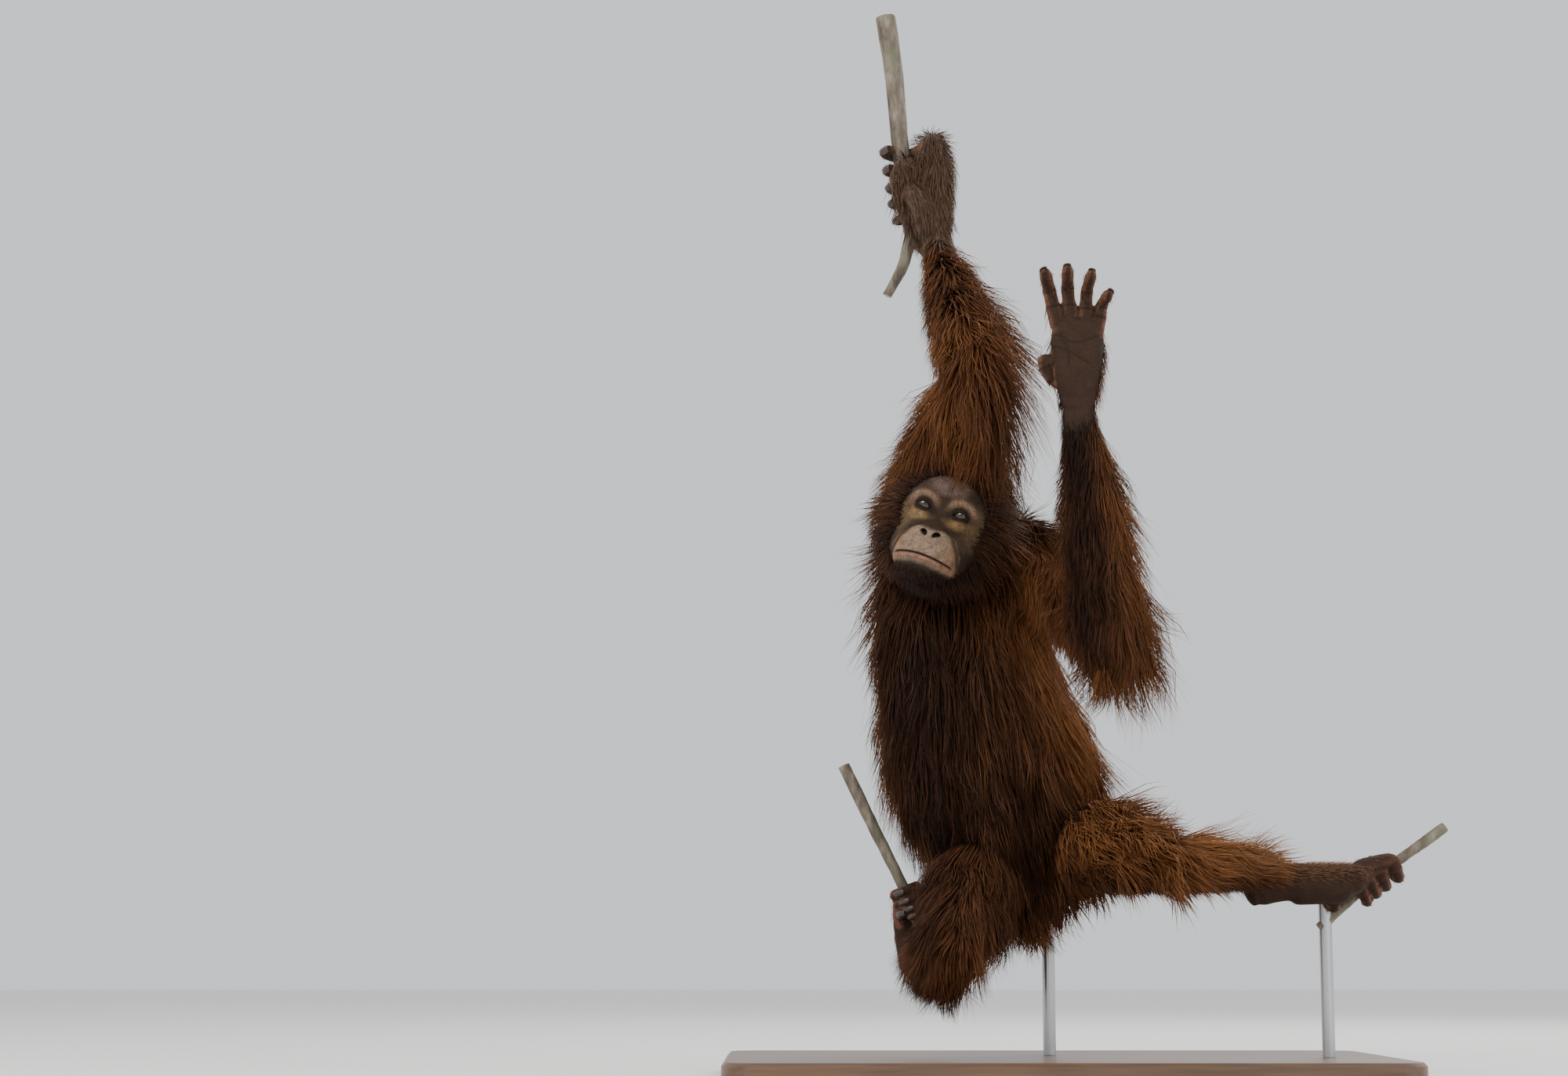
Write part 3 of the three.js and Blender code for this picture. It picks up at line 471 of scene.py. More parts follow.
def wrap(holder, at, turn, size, drift=0.0, root=None):
    centre = curveAt(holder.points, at)
    along, _, _ = holder.frameAt(at)
    side = flatTo(np.array([1.0, 0, 0]), along)
    back = np.cross(side, along)
    radius = np.linalg.norm(holder.surface(at, 0.0) - centre) + size + grip["clear"]
    start, stop = turn

    def around(degrees):
        return side * math.cos(math.radians(degrees)) + back * math.sin(math.radians(degrees))

    entry = around(start + (90 if stop > start else -90))
    approach = centre + around(start) * radius - entry * grip["approach"]
    root = approach - entry * grip["root"] if root is None else root
    stations = [(root, size * 1.15, size * 1.05), (approach, size * 1.08, size)]
    last = grip["steps"] - 1
    for i in range(grip["steps"]):
        spot = centre + around(start + (stop - start) * i / last) * radius + along * drift * i / last
        thin = grip["taper"] * i
        stations.append((spot, size * (1 - thin), size * (0.95 - thin)))
    shape = Bar(stations, along, caps=(4, 6), knuckles=grip["knuckles"])
    shape.dorsal = around(stop)
    return shape


def digit(points, size, taper=0.09):
    stations = [(p, size * (1.1 - taper * i), size * (1 - taper * i)) for i, p in enumerate(points)]
    shape = Bar(stations, front, caps=(4, 6), knuckles=(0.34, 0.66, 0.86))
    shape.dorsal = -front
    return shape


palmEnd = {"right": np.array([-127.0, 80, 1062]), "left": np.array([7.0, -252, 774])}
palms = {
    "right": Bar([
        (wrist["right"] - aim(*pose["forearm"]["right"][:2], 6), 17, 15),
        (between(wrist["right"], palmEnd["right"], 0.3) + (3, 0, 0), 22, 17),
        (between(wrist["right"], palmEnd["right"], 0.75) + (4, 0, 0), 30, 19),
        (palmEnd["right"] + (2, 0, 8), 25, 14),
    ], (-1, 0, 0), caps=(8, 12)),
    "left": Bar([
        (wrist["left"] - aim(*pose["forearm"]["left"][:2], 6), 16, 14),
        (between(wrist["left"], palmEnd["left"], 0.3), 23, 13),
        (between(wrist["left"], palmEnd["left"], 0.75), 28, 12),
        (palmEnd["left"] + (0, 0, 6), 24, 10),
    ], front, caps=(8, 12)),
}
feet = {
    "right": Bar([((-148, 68, 108), 18, 18), ((-150, 64, 136), 21, 18), ((-152, 60, 168), 23, 15),
                  ((-154, 55, 198), 21, 12)], front, caps=(12, 8)),
    "left": Bar([((202, -72, 198), 17, 19), ((232, -70, 206), 20, 20), ((280, -66, 208), 25, 18),
                 ((324, -62, 211), 24, 16)], down, caps=(12, 8)),
}

digits = {}
leftTips = {"index": (-29, 824), "middle": (-5, 828), "ring": (20, 823), "little": (38, 801)}
for i, (name, (tipX, tipZ)) in enumerate(leftTips.items()):
    size, turn = 7.6 - i * 0.3, (25, 236 - i * 4)
    digits[f"finger_{name}_right"] = wrap(sticks["hand"], 0.52 + i * 0.066, turn, size, drift=-4)
    root = palmEnd["left"] + (-20 + i * 13.5, 2, -4 - max(0, i - 1) * 3)
    tip = np.array([tipX, palmEnd["left"][1] - 30, tipZ])
    knuckle = between(root, tip, 0.55) + (0, 14, 10)
    route = [root, between(root, knuckle, 0.5), knuckle, tip]
    digits[f"finger_{name}_left"] = digit(route, 7.4 - i * 0.3)
digits["thumb_right"] = wrap(sticks["hand"], 0.8, (-60, -160), 7.2, drift=2)
digits["thumb_left"] = digit([(-8, -238, 714), (-22, -246, 724), (-29, -252, 742)], 8.2)
for i, name in enumerate(["first", "second", "third", "fourth"]):
    turn = (60, -150 + i * 6)
    digits[f"toe_{name}_right"] = wrap(sticks["rightFoot"], 0.7 + i * 0.07, turn, 6.4 - i * 0.2)
    size, turn = 7.4 - i * 0.25, (290, 425 - i * 8)
    root = np.array([312.0 - i * 6, -70 + i * 2, 222 - i * 9])
    digits[f"toe_{name}_left"] = wrap(sticks["leftFoot"], 0.4 + i * 0.09, turn, size, root=root)
digits["toe_great_right"] = wrap(sticks["rightFoot"], 0.86, (120, 245), 7)
digits["toe_great_left"] = wrap(sticks["leftFoot"], 0.86, (200, 70), 7.2, root=np.array([286.0, -62, 200]))
print("forms ready")


# One skin over all of it

skinSizes = {   # coatShare is how far into the coat's depth the skin lies, keep the share of triangles left
    "voxel": 2.0, "coatShare": 0.28, "soften": 10, "keep": 0.36, "faceBend": 1.12, "faceBlend": 0.2,
    "faceDeep": 9,
}


def joined(parts):
    points, faces, start = [], [], 0
    for partPoints, partFaces in parts:
        points.append(partPoints)
        faces += [tuple(i + start for i in f) for f in partFaces]
        start += len(partPoints)
    return np.vstack(points), faces


def relax(points, edges, weight, rounds):
    count = np.bincount(edges.ravel(), minlength=len(points))[:, None]
    for _ in range(rounds):
        total = np.zeros_like(points)
        for axis in range(3):
            total[:, axis] = np.bincount(edges[:, 0], points[edges[:, 1], axis], len(points))
            total[:, axis] += np.bincount(edges[:, 1], points[edges[:, 0], axis], len(points))
        points = points + (total / np.maximum(count, 1) - points) * weight[:, None] * 0.6
    return points


def nearBars(points, bars, samples=28):
    found = {}
    for name, bar in bars.items():
        t = np.linspace(0, 1, samples)
        axis = curveAt(bar.points, t)
        sizes = curveAt(bar.sizes, t)
        along, depth, width = bar.frameAt(t)
        gap = np.full(len(points), 1e9)
        place = np.zeros(len(points), int)
        for k in range(samples):
            off = points - axis[k]
            small = min(sizes[k, 0], sizes[k, 1])
            q = np.sqrt((off @ width[k] / sizes[k, 0]) ** 2 + (off @ depth[k] / sizes[k, 1]) ** 2
                        + (off @ along[k] / small) ** 2)
            q = (q - 1) * small
            closer = q < gap
            gap[closer], place[closer] = q[closer], k
        off = points - axis[place]
        angle = np.arctan2(np.sum(off * depth[place], 1), np.sum(off * width[place], 1))
        run = np.clip(t[place] + np.sum(off * along[place], 1) / bar.length, 0, 1)
        found[name] = (gap, run, along[place], angle)
    return found


def palmAt(side, t, x, y):
    return between(wrist[side], palmEnd[side], t) + (x, y, 0)


# Fleshy pads that close the hands and feet: each name starts with the node that it belongs to
pads = {
    "hand_right_wrist": Bar([
        (palmAt("right", 0.05, -4, -6), 14, 15), (palmAt("right", 0.25, -9, -12), 17, 14),
        (palmAt("right", 0.45, -22, -18), 12, 11), ((-152, 62, 998), 8, 8),
    ], (-1, 0, 0), caps=(8, 6)),
    "hand_right_back": Bar([(palmAt("right", 0.3, -5, 0), 24, 17), (palmAt("right", 0.9, -6, 0), 26, 16)],
                           (-1, 0, 0), caps=(8, 10)),
    "hand_right_heel": Bar([((-136, 66, 942), 10, 9), ((-146, 60, 966), 14, 10), ((-153, 56, 994), 18, 10),
                            ((-155, 54, 1016), 19, 10), ((-147, 56, 1040), 15, 9)], front, caps=(8, 12)),
    "hand_left_thumb_side": Bar([
        (palmAt("left", 0.1, -6, -4), 9, 10), (palmAt("left", 0.35, -12, -8), 11, 10),
        (palmAt("left", 0.5, -15, -6), 9, 8),
    ], front, caps=(6, 6)),
    "hand_left_little_side": Bar([
        (palmAt("left", 0.1, 7, -4), 8, 9), (palmAt("left", 0.45, 14, -7), 10, 9),
        (palmAt("left", 0.85, 16, -4), 9, 8),
    ], front, caps=(6, 6)),
    "foot_left_heel": Bar([((194, -70, 200), 17, 18), ((214, -71, 200), 19, 20)], down, caps=(14, 10)),
    "foot_left_ball": Bar([((240, -67, 204), 22, 22), ((312, -62, 206), 25, 21)], down, caps=(12, 12)),
}
for name in leftTips:
    base, middle = digits[f"finger_{name}_left"].points[:2]
    pads[f"hand_left_{name}"] = Bar([(base, 8.5, 9), (middle, 5, 5)], front, caps=(6, 6))
nodeBars = {**{f"hand_{s}": palms[s] for s in palms}, **{f"foot_{s}": feet[s] for s in feet}, **digits}
bodyBars = {"torso": trunkBar, "neck": neckBar, **limbs}
bareBars = {**nodeBars, **pads}


def nearest(found, only=None):
    return np.minimum.reduce([found[name][0] for name in only or found])


def headPlace(points):
    local = toHead(points)
    way = unit(local)
    return local, way, np.arccos(np.clip(way[:, 1], -1, 1)), np.linalg.norm(local, axis=1) - headRadius(way)


def faceShare(points):
    _, way, bend, gap = headPlace(points)
    edge = skinSizes["faceBend"]
    return way, smooth(edge + skinSizes["faceBlend"], edge, bend) * (np.abs(gap) < skinSizes["faceDeep"])


def makeSkin():
    parts = [bar.mesh(inset=skinSizes["coatShare"]) for bar in bodyBars.values()]
    parts += [bar.mesh(pitch=2.0, sides=24) for bar in bareBars.values()]
    parts += [headMesh(), earMesh(1), earMesh(-1)]
    skin = remeshed(newObject("skin", *joined(parts)), skinSizes["voxel"])
    points = coordinates(skin.data)
    bare, digitGap = nearest(nearBars(points, bareBars)), nearest(nearBars(points, digits))
    isFace = faceShare(points)[1]
    soft = (0.12 + 0.5 * smooth(1.0, 4.0, digitGap) + 0.38 * smooth(2.0, 8.0, bare)) * (1 - isFace)
    setCoordinates(skin.data, relax(points, edgesOf(skin.data), soft, skinSizes["soften"]))
    print("skin joined", len(points))

    def halveFaceEdges(work):
        work.verts.ensure_lookup_table()
        inFace = isFace > 0.02
        edges = [e for e in work.edges if inFace[e.verts[0].index] and inFace[e.verts[1].index]]
        bmesh.ops.subdivide_edges(work, edges=edges, cuts=1, use_grid_fill=True)

    edit(skin.data, halveFaceEdges)
    points = coordinates(skin.data)
    way, isFace = faceShare(points)
    target = inHead(way * faceRadius(way)[:, None])
    points = points + (target - points) * isFace[:, None]
    setCoordinates(skin.data, points)

    covered = smooth(3, 8, nearest(nearBars(points, bareBars))) * (1 - smooth(0, 0.05, isFace))
    group = skin.vertex_groups.new(name="covered")
    for index in np.nonzero(covered > 0.01)[0]:
        group.add([int(index)], float(covered[index]), "REPLACE")
    thin = skin.modifiers.new("thin", "DECIMATE")
    thin.ratio = skinSizes["keep"]
    thin.vertex_group = "covered"
    bake(skin)
    skin.vertex_groups.clear()
    shadeSmooth(skin.data)
    print("skin done", sum(len(p.vertices) - 2 for p in skin.data.polygons), "triangles")
    return skin


skin = makeSkin()


# What the coat does at each place on the skin. It lies along the part by flow and downwards by weight.
# reach is its length along the part, and longer the share by which it grows where it faces that way.
# tone is how light it is, and shade the painted light and shade that facing adds to that: gain, from, to, and
# the way that it faces.

coat = {
    # torso: a darker front, partly the chest's own dark hair and partly painted shade, with painted back
    # light on the lighter flanks
    "torso": dict(flow=-1, weight=0.45, reach=(70, 95, 95, 86, 56), lift=0.16, hang=0.04,
                  tone=0.13, shade=(0.5, 0.90, 0.28, (-0.42, -0.9, 0))),
    "neck": dict(flow=-0.2, weight=1, reach=(54, 46, 38), lift=0.14, hang=0.05, tone=0.52),
    "upper_arm_right": dict(flow=-0.35, weight=0.9, reach=(78, 88, 98, 86), longer=(0.4, 0, -0.1),
                            lift=0.46, hang=0.08, tone=0.42),
    "forearm_right": dict(flow=-0.6, weight=0.8, reach=(90, 80, 66, 46, 34), longer=(0.5, 0, 0),
                          lift=0.44, hang=0.06, tone=0.42),
    # lighter where the coat faces away from the front: painted back light
    "upper_arm_left": dict(flow=0.35, weight=0.8, reach=(46, 50, 60, 66), longer=(0.35, 0.1, -0.1),
                           lift=0.26, hang=0.06, tone=0.32, shade=(0.2, 0.6, -0.4, front)),
    # darker where it faces forward and left, lighter at the edges: painted shade and painted rim light
    "forearm_left": dict(flow=-0.5, weight=0.8, reach=(72, 74, 62, 38, 20), longer=(0.5, 0.3, 0),
                         lift=0.42, hang=0.05, tone=0.06, shade=(0.44, 0.8, -0.1, (-0.55, -0.83, 0))),
    # lighter where the coat faces away from the front: painted back light
    "thigh_right": dict(flow=0.5, weight=0.8, reach=(70, 68, 60), longer=(0, 0, -0.2),
                        lift=0.22, hang=0.04, tone=0.24, shade=(0.2, 0.1, -0.7, front)),
    "shank_right": dict(flow=0.3, weight=1, reach=(52, 44, 28), longer=(0, 0, -0.2),
                        lift=0.22, hang=0.06, tone=0.42),
    # lighter where the coat faces up: painted light from above
    "thigh_left": dict(flow=0.9, weight=0.4, reach=(60, 56, 54), longer=(0, 0, 0.7), lift=0.34, hang=0.02,
                       tone=0.34, shade=(0.3, -0.1, 0.6, up), flatUnder=0.8),
    # lighter where the coat faces up: painted light from above
    "shank_left": dict(flow=0.7, weight=0.25, reach=(56, 54, 36, 16), longer=(0, 0, 0.7), lift=0.42,
                       hang=0.03, tone=0.24, shade=(0.45, 0.0, 0.8, up), flatUnder=0.7),
    "head": dict(weight=0.3, reach=(9, 22, 42, 54, 58), reachBends=(44, 54, 66, 90, 150), lift=0.8,
                 hang=0.05, leftLonger=0.2, tone=(0.10, 0.20, 0.36), toneBends=(50, 75, 110)),
}
coatRegions = [*bodyBars, "head"]
handHair = {   # the bare side of a hand or foot, where it starts, and the other side's length of hair
    "hand_left": ((-0.2, -0.98, 0), 0.05, 20), "hand_right": ((-1, 0.1, 0), 0.7, 22),
    "foot_left": ((0, -0.2, -1), 0.1, 10), "foot_right": ((-0.6, -0.8, 0), 0.2, 12),
}
palmLines = (   # creases of the open palm, as places [x, z]
    ((-20, 764), (4, 752), (33, 762)), ((-21, 751), (6, 738), (28, 722)), ((-12, 762), (-3, 738), (-9, 706)),
)


coatEdges = {   # from and to of each change; gaps in mm, bends from the face's middle in radians
    "bare": (6, 2), "digit": (2.0, 0.5), "hairline": (0.74, 0.95), "beard": (-50, -60), "chin": (-45, -60),
    "underside": (0.1, -0.7), "handDust": (16, 2), "footDust": (10, 2), "onPalm": (5, 2),
    "knuckles": (0.36, 0.68),
}
coatBlend = {"inside": 8, "soft": 7, "power": 4, "relax": 12, "shortest": 6}


def headStyle(points):
    style = coat["head"]
    local, way, bend, _ = headPlace(points)
    behind = np.stack([way[:, 0] * way[:, 1], way[:, 1] ** 2 - 1, way[:, 2] * way[:, 1]], 1)
    lie = unit(behind) @ headFrame.T + down * style["weight"]
    reach = np.interp(bend, np.radians(style["reachBends"]), style["reach"])
    reach = reach * (1 + style["leftLonger"] * np.maximum(0, -way[:, 0]))
    tone = np.interp(bend, np.radians(style["toneBends"]), style["tone"])
    return lie, reach, tone - 0.1 * smooth(*coatEdges["chin"], local[:, 2])   # painted shade, darker under the chin


def partStyle(name, points, normals, t, along):
    style = coat[name]
    lie = along * style["flow"] + down * style["weight"]
    reach = np.interp(t, np.linspace(0, 1, len(style["reach"])), style["reach"])
    reach = reach * (1 + normals @ np.array(style.get("longer", (0, 0, 0)), float))
    # shade: painted light and shade, the tone rising or falling with the way the coat faces
    gain, low, high, shadeWay = style.get("shade", (0, 0, 1, up))
    facing = normals @ unit(np.array(shadeWay, float))
    if name == "thigh_left":   # lighter towards the knee
        facing = facing + t - 0.5
    tone = style["tone"] + gain * smooth(low, high, facing)
    if name == "torso":   # a darker band below the neck, painted shade under the head
        tone = tone - 0.1 * bump(points[:, 2] - 560, 70)
    return lie, reach, tone


def creasesAt(points, bare, facingFront):
    crease = np.zeros(len(points))
    for name, bar in digits.items():
        gap, run, _, _ = bare[name]
        for knuckle in coatEdges["knuckles"]:
            crease = np.maximum(crease, bump((run - knuckle) * bar.length, 1.3) * smooth(3, 1, gap))
    onPalm = smooth(*coatEdges["onPalm"], bare["hand_left"][0]) * smooth(0.1, 0.4, facingFront)
    for line in palmLines:
        for place in curveAt(np.array(line, float), np.linspace(0, 1, 40)):
            away = np.hypot(points[:, 0] - place[0], points[:, 2] - place[1])
            crease = np.maximum(crease, bump(away, 1.1) * onPalm)
    return crease


def describeCoat(mesh):
    points, normals = coordinates(mesh), vertexNormals(mesh)
    places = nearBars(points, bodyBars)
    local, way, bend, headGap = headPlace(points)
    gaps = np.stack([places[n][0] for n in bodyBars] + [headGap], 1)
    share = 1 / (coatBlend["soft"] + np.maximum(0, gaps + coatBlend["inside"])) ** coatBlend["power"]
    share /= share.sum(1, keepdims=True)
    lie, reach = np.zeros_like(points), np.zeros(len(points))
    lift, hang, tone = reach.copy(), reach.copy(), reach.copy()
    underside = smooth(*coatEdges["underside"], normals[:, 2])
    for k, name in enumerate(coatRegions):
        style, w = coat[name], share[:, k]
        if name == "head":
            partLie, partReach, partTone = headStyle(points)
        else:
            _, t, along, _ = places[name]
            partLie, partReach, partTone = partStyle(name, points, normals, t, along)
        lie += partLie * w[:, None]
        reach += partReach * w
        lift += style["lift"] * (1 - style.get("flatUnder", 0) * underside) * w
        hang += style["hang"] * w
        tone += partTone * w
    lie = flatTo(lie, normals)
    bare = nearBars(points, bareBars)
    bareGap, digitGap = nearest(bare), nearest(bare, digits)
    hairline = smooth(*coatEdges["hairline"], bend + 0.05 * ripple(points, 12, 9))
    beard = 0.8 * smooth(*coatEdges["beard"], local[:, 2])
    thick = np.where(headGap < 7, np.maximum(hairline, beard), 1.0)
    reach = reach * (1 - smooth(*coatEdges["bare"], bareGap))
    hidden = np.zeros(len(points))
    gapTo = {name: nearest(bare, [k for k in bare if k.startswith(name)]) for name in handHair}
    for name, (inner, level, hairs) in handHair.items():
        near = smooth(*coatEdges["bare"], gapTo[name])
        inside = smooth(level - 0.2, level + 0.2, normals @ unit(np.array(inner, float)))
        hidden = np.maximum(hidden, near * inside)
        reach += hairs * near * (reach < hairs)
    reach = np.maximum(reach, coatBlend["shortest"])
    thick = thick * (1 - hidden) * (1 - 0.85 * smooth(*coatEdges["digit"], digitGap))
    rough, even = np.stack([reach, tone, thick], 1), np.ones(len(points))
    reach, tone, thick = relax(rough, edgesOf(mesh), even, coatBlend["relax"]).T
    tone = np.clip(tone + 0.07 * ripple(points, 40, 3) + 0.05 * ripple(points, 14, 4), 0, 1)
    handDust = smooth(*coatEdges["handDust"], gapTo["hand_right"])
    dust = np.maximum(handDust, 0.5 * smooth(*coatEdges["footDust"], gapTo["foot_left"]))
    store(mesh, "dust", dust * 0.75)
    store(mesh, "crease", creasesAt(points, bare, normals @ front))
    store(mesh, "lie", lie, "FLOAT_VECTOR")
    fields = {"reach": reach * mm, "lift": lift, "hang": hang, "thick": thick, "tone": tone}
    for name, values in fields.items():
        store(mesh, name, values)
    region = gaps.argmin(1)
    pick = np.arange(len(points))
    turn = np.stack([places[n][3] for n in bodyBars] + [np.arctan2(way[:, 0], way[:, 1])], 1)[pick, region]
    run = np.stack([places[n][1] for n in bodyBars] + [(way[:, 2] + 1) / 2], 1)[pick, region]
    store(mesh, "unwrap", np.stack([np.cos(turn), np.sin(turn), run], 1), "FLOAT_VECTOR")
    return region, bareGap, digitGap, gapTo["hand_right"], headGap, bend, way


region, bareGap, digitGap, handGap, headGap, bend, way = describeCoat(skin.data)


# Colours of the bare skin, from named places on the face and hands

tones = {
    "hide": (0.040, 0.023, 0.013), "dark": (0.011, 0.006, 0.004), "muzzle": (0.27, 0.185, 0.13),
    "muzzleSide": (0.32, 0.18, 0.10), "ochre": (0.235, 0.145, 0.065), "brow": (0.25, 0.155, 0.10),
    "forehead": (0.150, 0.100, 0.082), "cheek": (0.120, 0.075, 0.038), "lip": (0.32, 0.16, 0.105),
    "palm": (0.040, 0.021, 0.013), "fingerSide": (0.23, 0.10, 0.06), "heel": (0.17, 0.085, 0.065),
    "handBack": (0.16, 0.105, 0.075),
}
heelAt = (205, -76, 214)   # middle of the pinkish patch on the left heel


def colourSkin(mesh):
    points, normals = coordinates(mesh), vertexNormals(mesh)
    spot = way * headRadius(way)[:, None]
    x, z = spot[:, 0], spot[:, 2]
    ax, dx, dz, fold, line, turn, cross = faceMarks(x, z)
    ring = np.hypot(dx, dz * 1.15)
    colour = np.tile(np.array(tones["hide"]), (len(points), 1))

    def paint(name, mask):
        nonlocal colour
        mask = np.clip(mask, 0, 1)[:, None]
        colour = colour * (1 - mask) + np.array(tones[name]) * mask

    isFace = (np.abs(headGap) < skinSizes["faceDeep"]) & (bend < 1.4)
    uneven = 0.12 * ripple(points, 7, 21)
    paint("forehead", isFace * smooth(1.25, 0.5, np.hypot(x / 27, (z - 43) / 13) + uneven) * 0.9)
    paint("cheek", isFace * smooth(1.35, 0.5, np.hypot((ax - 38) / 12, (z - 2) / 24) + uneven) * 0.85)
    paint("brow", isFace * bump(ring - 15, 4.4) * smooth(-3, 7, dz) * smooth(26, 12, np.abs(dx)) * 0.92)
    paint("ochre", isFace * smooth(1.4, 0.45, np.hypot((dx - 1) / 14, (dz + 10.5) / 6.6) + uneven))
    muzzle = smooth(1.0, 0.0, (ax - fold) / 3 + uneven * 2) * smooth(-8, -13, z + uneven * 8)
    muzzle = muzzle * smooth(-58, -50, z)
    paint("muzzle", isFace * muzzle)
    paint("muzzleSide", isFace * muzzle * smooth(14, 32, ax) * 0.8)
    paint("dark", isFace * smooth(6, 12, line - z + uneven * 6) * smooth(22, 30, 60 - ax) * 0.92)
    paint("lip", isFace * bump(z - line + 2.8, 2.0) * smooth(34, 28, ax))
    # painted shade in the hollows: the line between the lips, the nostrils and the fold of the cheek are
    # darkened
    paint("dark", isFace * bump(z - line, 1.0) * smooth(35, 30, ax))
    paint("dark", isFace * smooth(1.2, 0.8, np.hypot(turn / 4.9, cross / 3.0)))
    paint("dark", isFace * bump(ax - fold - 0.5, 2.6) * smooth(-3, -8, z) * 0.85)
    # dark skin round the eyes, deepened with painted shade in the sockets and beside the nose root
    paint("dark", isFace * smooth(12.5, 8.5, ring) * smooth(-8.5, -4.5, dz) * 0.93)
    paint("dark", isFace * bump(ax - 9, 5) * bump(z - 10, 11) * 0.75)
    paint("dark", isFace * smooth(0.9, 1.15, bend) * 0.7)
    paint("palm", smooth(*coatEdges["bare"], bareGap))
    paint("handBack", smooth(*coatEdges["bare"], handGap) * (0.8 + uneven))
    onDigit = smooth(4, 1, digitGap)
    # the digits' sides: pinkish skin, lightened further with painted light
    paint("fingerSide", onDigit * smooth(0.25, 0.8, np.abs(normals[:, 0]) + uneven * 0.8) * 0.7)
    nearHeel = smooth(30, 16, np.linalg.norm(points - np.array(heelAt, float), axis=1))
    paint("heel", nearHeel * smooth(-0.2, 0.5, normals[:, 2]) * 0.8)
    store(mesh, "tint", np.hstack([colour, np.ones((len(points), 1))]), "FLOAT_COLOR")
    store(mesh, "faceMask", isFace * smooth(1.2, 1.0, bend))


colourSkin(skin.data)
print("skin coloured")


# Shader maths: one class wraps a socket, one method makes a node

class Sock:
    def __init__(self, tree, link):
        self.tree, self.link = tree, link

    def math(self, operation, *others):
        return self.tree.add("ShaderNodeMath", {"operation": operation}, [self, *others])

    def __add__(self, other):
        return self.math("ADD", other)

    __radd__ = __add__

    def __mul__(self, other):
        return self.math("MULTIPLY", other)

    __rmul__ = __mul__

    def __sub__(self, other):
        return self.math("SUBTRACT", other)

    def __rsub__(self, other):
        return self.tree.add("ShaderNodeMath", {"operation": "SUBTRACT"}, [other, self])

    def __truediv__(self, other):
        return self.math("DIVIDE", other)

    def __rtruediv__(self, other):
        return self.tree.add("ShaderNodeMath", {"operation": "DIVIDE"}, [other, self])

    def ramp(self, *stops):
        return self.tree.add("ShaderNodeValToRGB", {"stops": stops}, {"Fac": self})

    def fit(self, low, high, toLow=0.0, toHigh=1.0):
        sockets = {"Value": self, "From Min": low, "From Max": high, "To Min": toLow, "To Max": toHigh}
        return self.tree.add("ShaderNodeMapRange", {"interpolation_type": "SMOOTHSTEP"}, sockets, "Result")

    def output(self, name):
        return Sock(self.tree, self.link.node.outputs[name])


class Tree:
    def __init__(self, nodeTree):
        self.nodes, self.links = nodeTree.nodes, nodeTree.links

    def add(self, kind, settings=None, sockets=None, output=0):
        node = self.nodes.new(kind)
        for key, value in (settings or {}).items():
            if key == "stops":
                elements = node.color_ramp.elements
                while len(elements) < len(value):
                    elements.new(0.5)
                for element, (place, colour) in zip(elements, value):
                    element.position, element.color = place, (*colour, 1)
            else:
                setattr(node, key, value)
        pairs = enumerate(sockets) if isinstance(sockets, list) else (sockets or {}).items()
        for key, value in pairs:
            socket = node.inputs[key]
            if isinstance(value, Sock):
                self.links.new(value.link, socket)
            else:
                socket.default_value = value
        return Sock(self, node.outputs[output] if node.outputs else None)

    def blend(self, factor, first, second):
        first, second = [(*c, 1) if isinstance(c, tuple) else c for c in (first, second)]
        return self.add("ShaderNodeMix", {"data_type": "RGBA"}, {0: factor, 6: first, 7: second}, 2)

    def attribute(self, name, output="Fac"):
        return self.add("ShaderNodeAttribute", {"attribute_name": name}, None, output)

    def place(self, scale=(1, 1, 1)):
        spot = self.add("ShaderNodeTexCoord", None, None, "Object")
        return self.add("ShaderNodeMapping", None, {"Vector": spot, "Scale": scale})

    def noise(self, vector, scale, detail=3.0, rough=0.5):
        sockets = {"Vector": vector, "Scale": scale, "Detail": detail, "Roughness": rough}
        return self.add("ShaderNodeTexNoise", None, sockets)


def material(name, build, **fixed):
    made = bpy.data.materials.new(name)
    made.use_nodes = True
    made.node_tree.nodes.clear()
    tree = Tree(made.node_tree)
    looks = build(tree)
    if "Height" in looks:
        strength, distance, height = looks.pop("Height")
        relief = {"Strength": strength, "Distance": distance, "Height": height}
        looks["Normal"] = tree.add("ShaderNodeBump", None, relief)
    sockets = {socket.replace("_", " "): value for socket, value in fixed.items()}
    shader = tree.add("ShaderNodeBsdfPrincipled", None, {**sockets, **looks})
    tree.add("ShaderNodeOutputMaterial", None, {"Surface": shader})
    return made


def coatLook(tree):
    tone, along, shade = tree.attribute("tone"), tree.attribute("along"), tree.attribute("shade")
    mixed = tone + (shade - 0.5) * 0.22 + along * 0.10
    colour = mixed.ramp((0.0, (0.010, 0.0055, 0.0035)), (0.25, (0.048, 0.019, 0.009)),
                        (0.55, (0.142, 0.054, 0.019)), (1.0, (0.32, 0.130, 0.040)))
    colour = tree.blend(tree.attribute("dust"), colour, (0.105, 0.066, 0.044))
    # painted shade deep in the coat: each tuft darkens towards its root
    colour = tree.blend(along.fit(0.0, 0.5, 0.55, 0.0), colour, (0.010, 0.006, 0.004))
    return {"Base Color": colour, "Roughness": 0.5 + shade * 0.2}


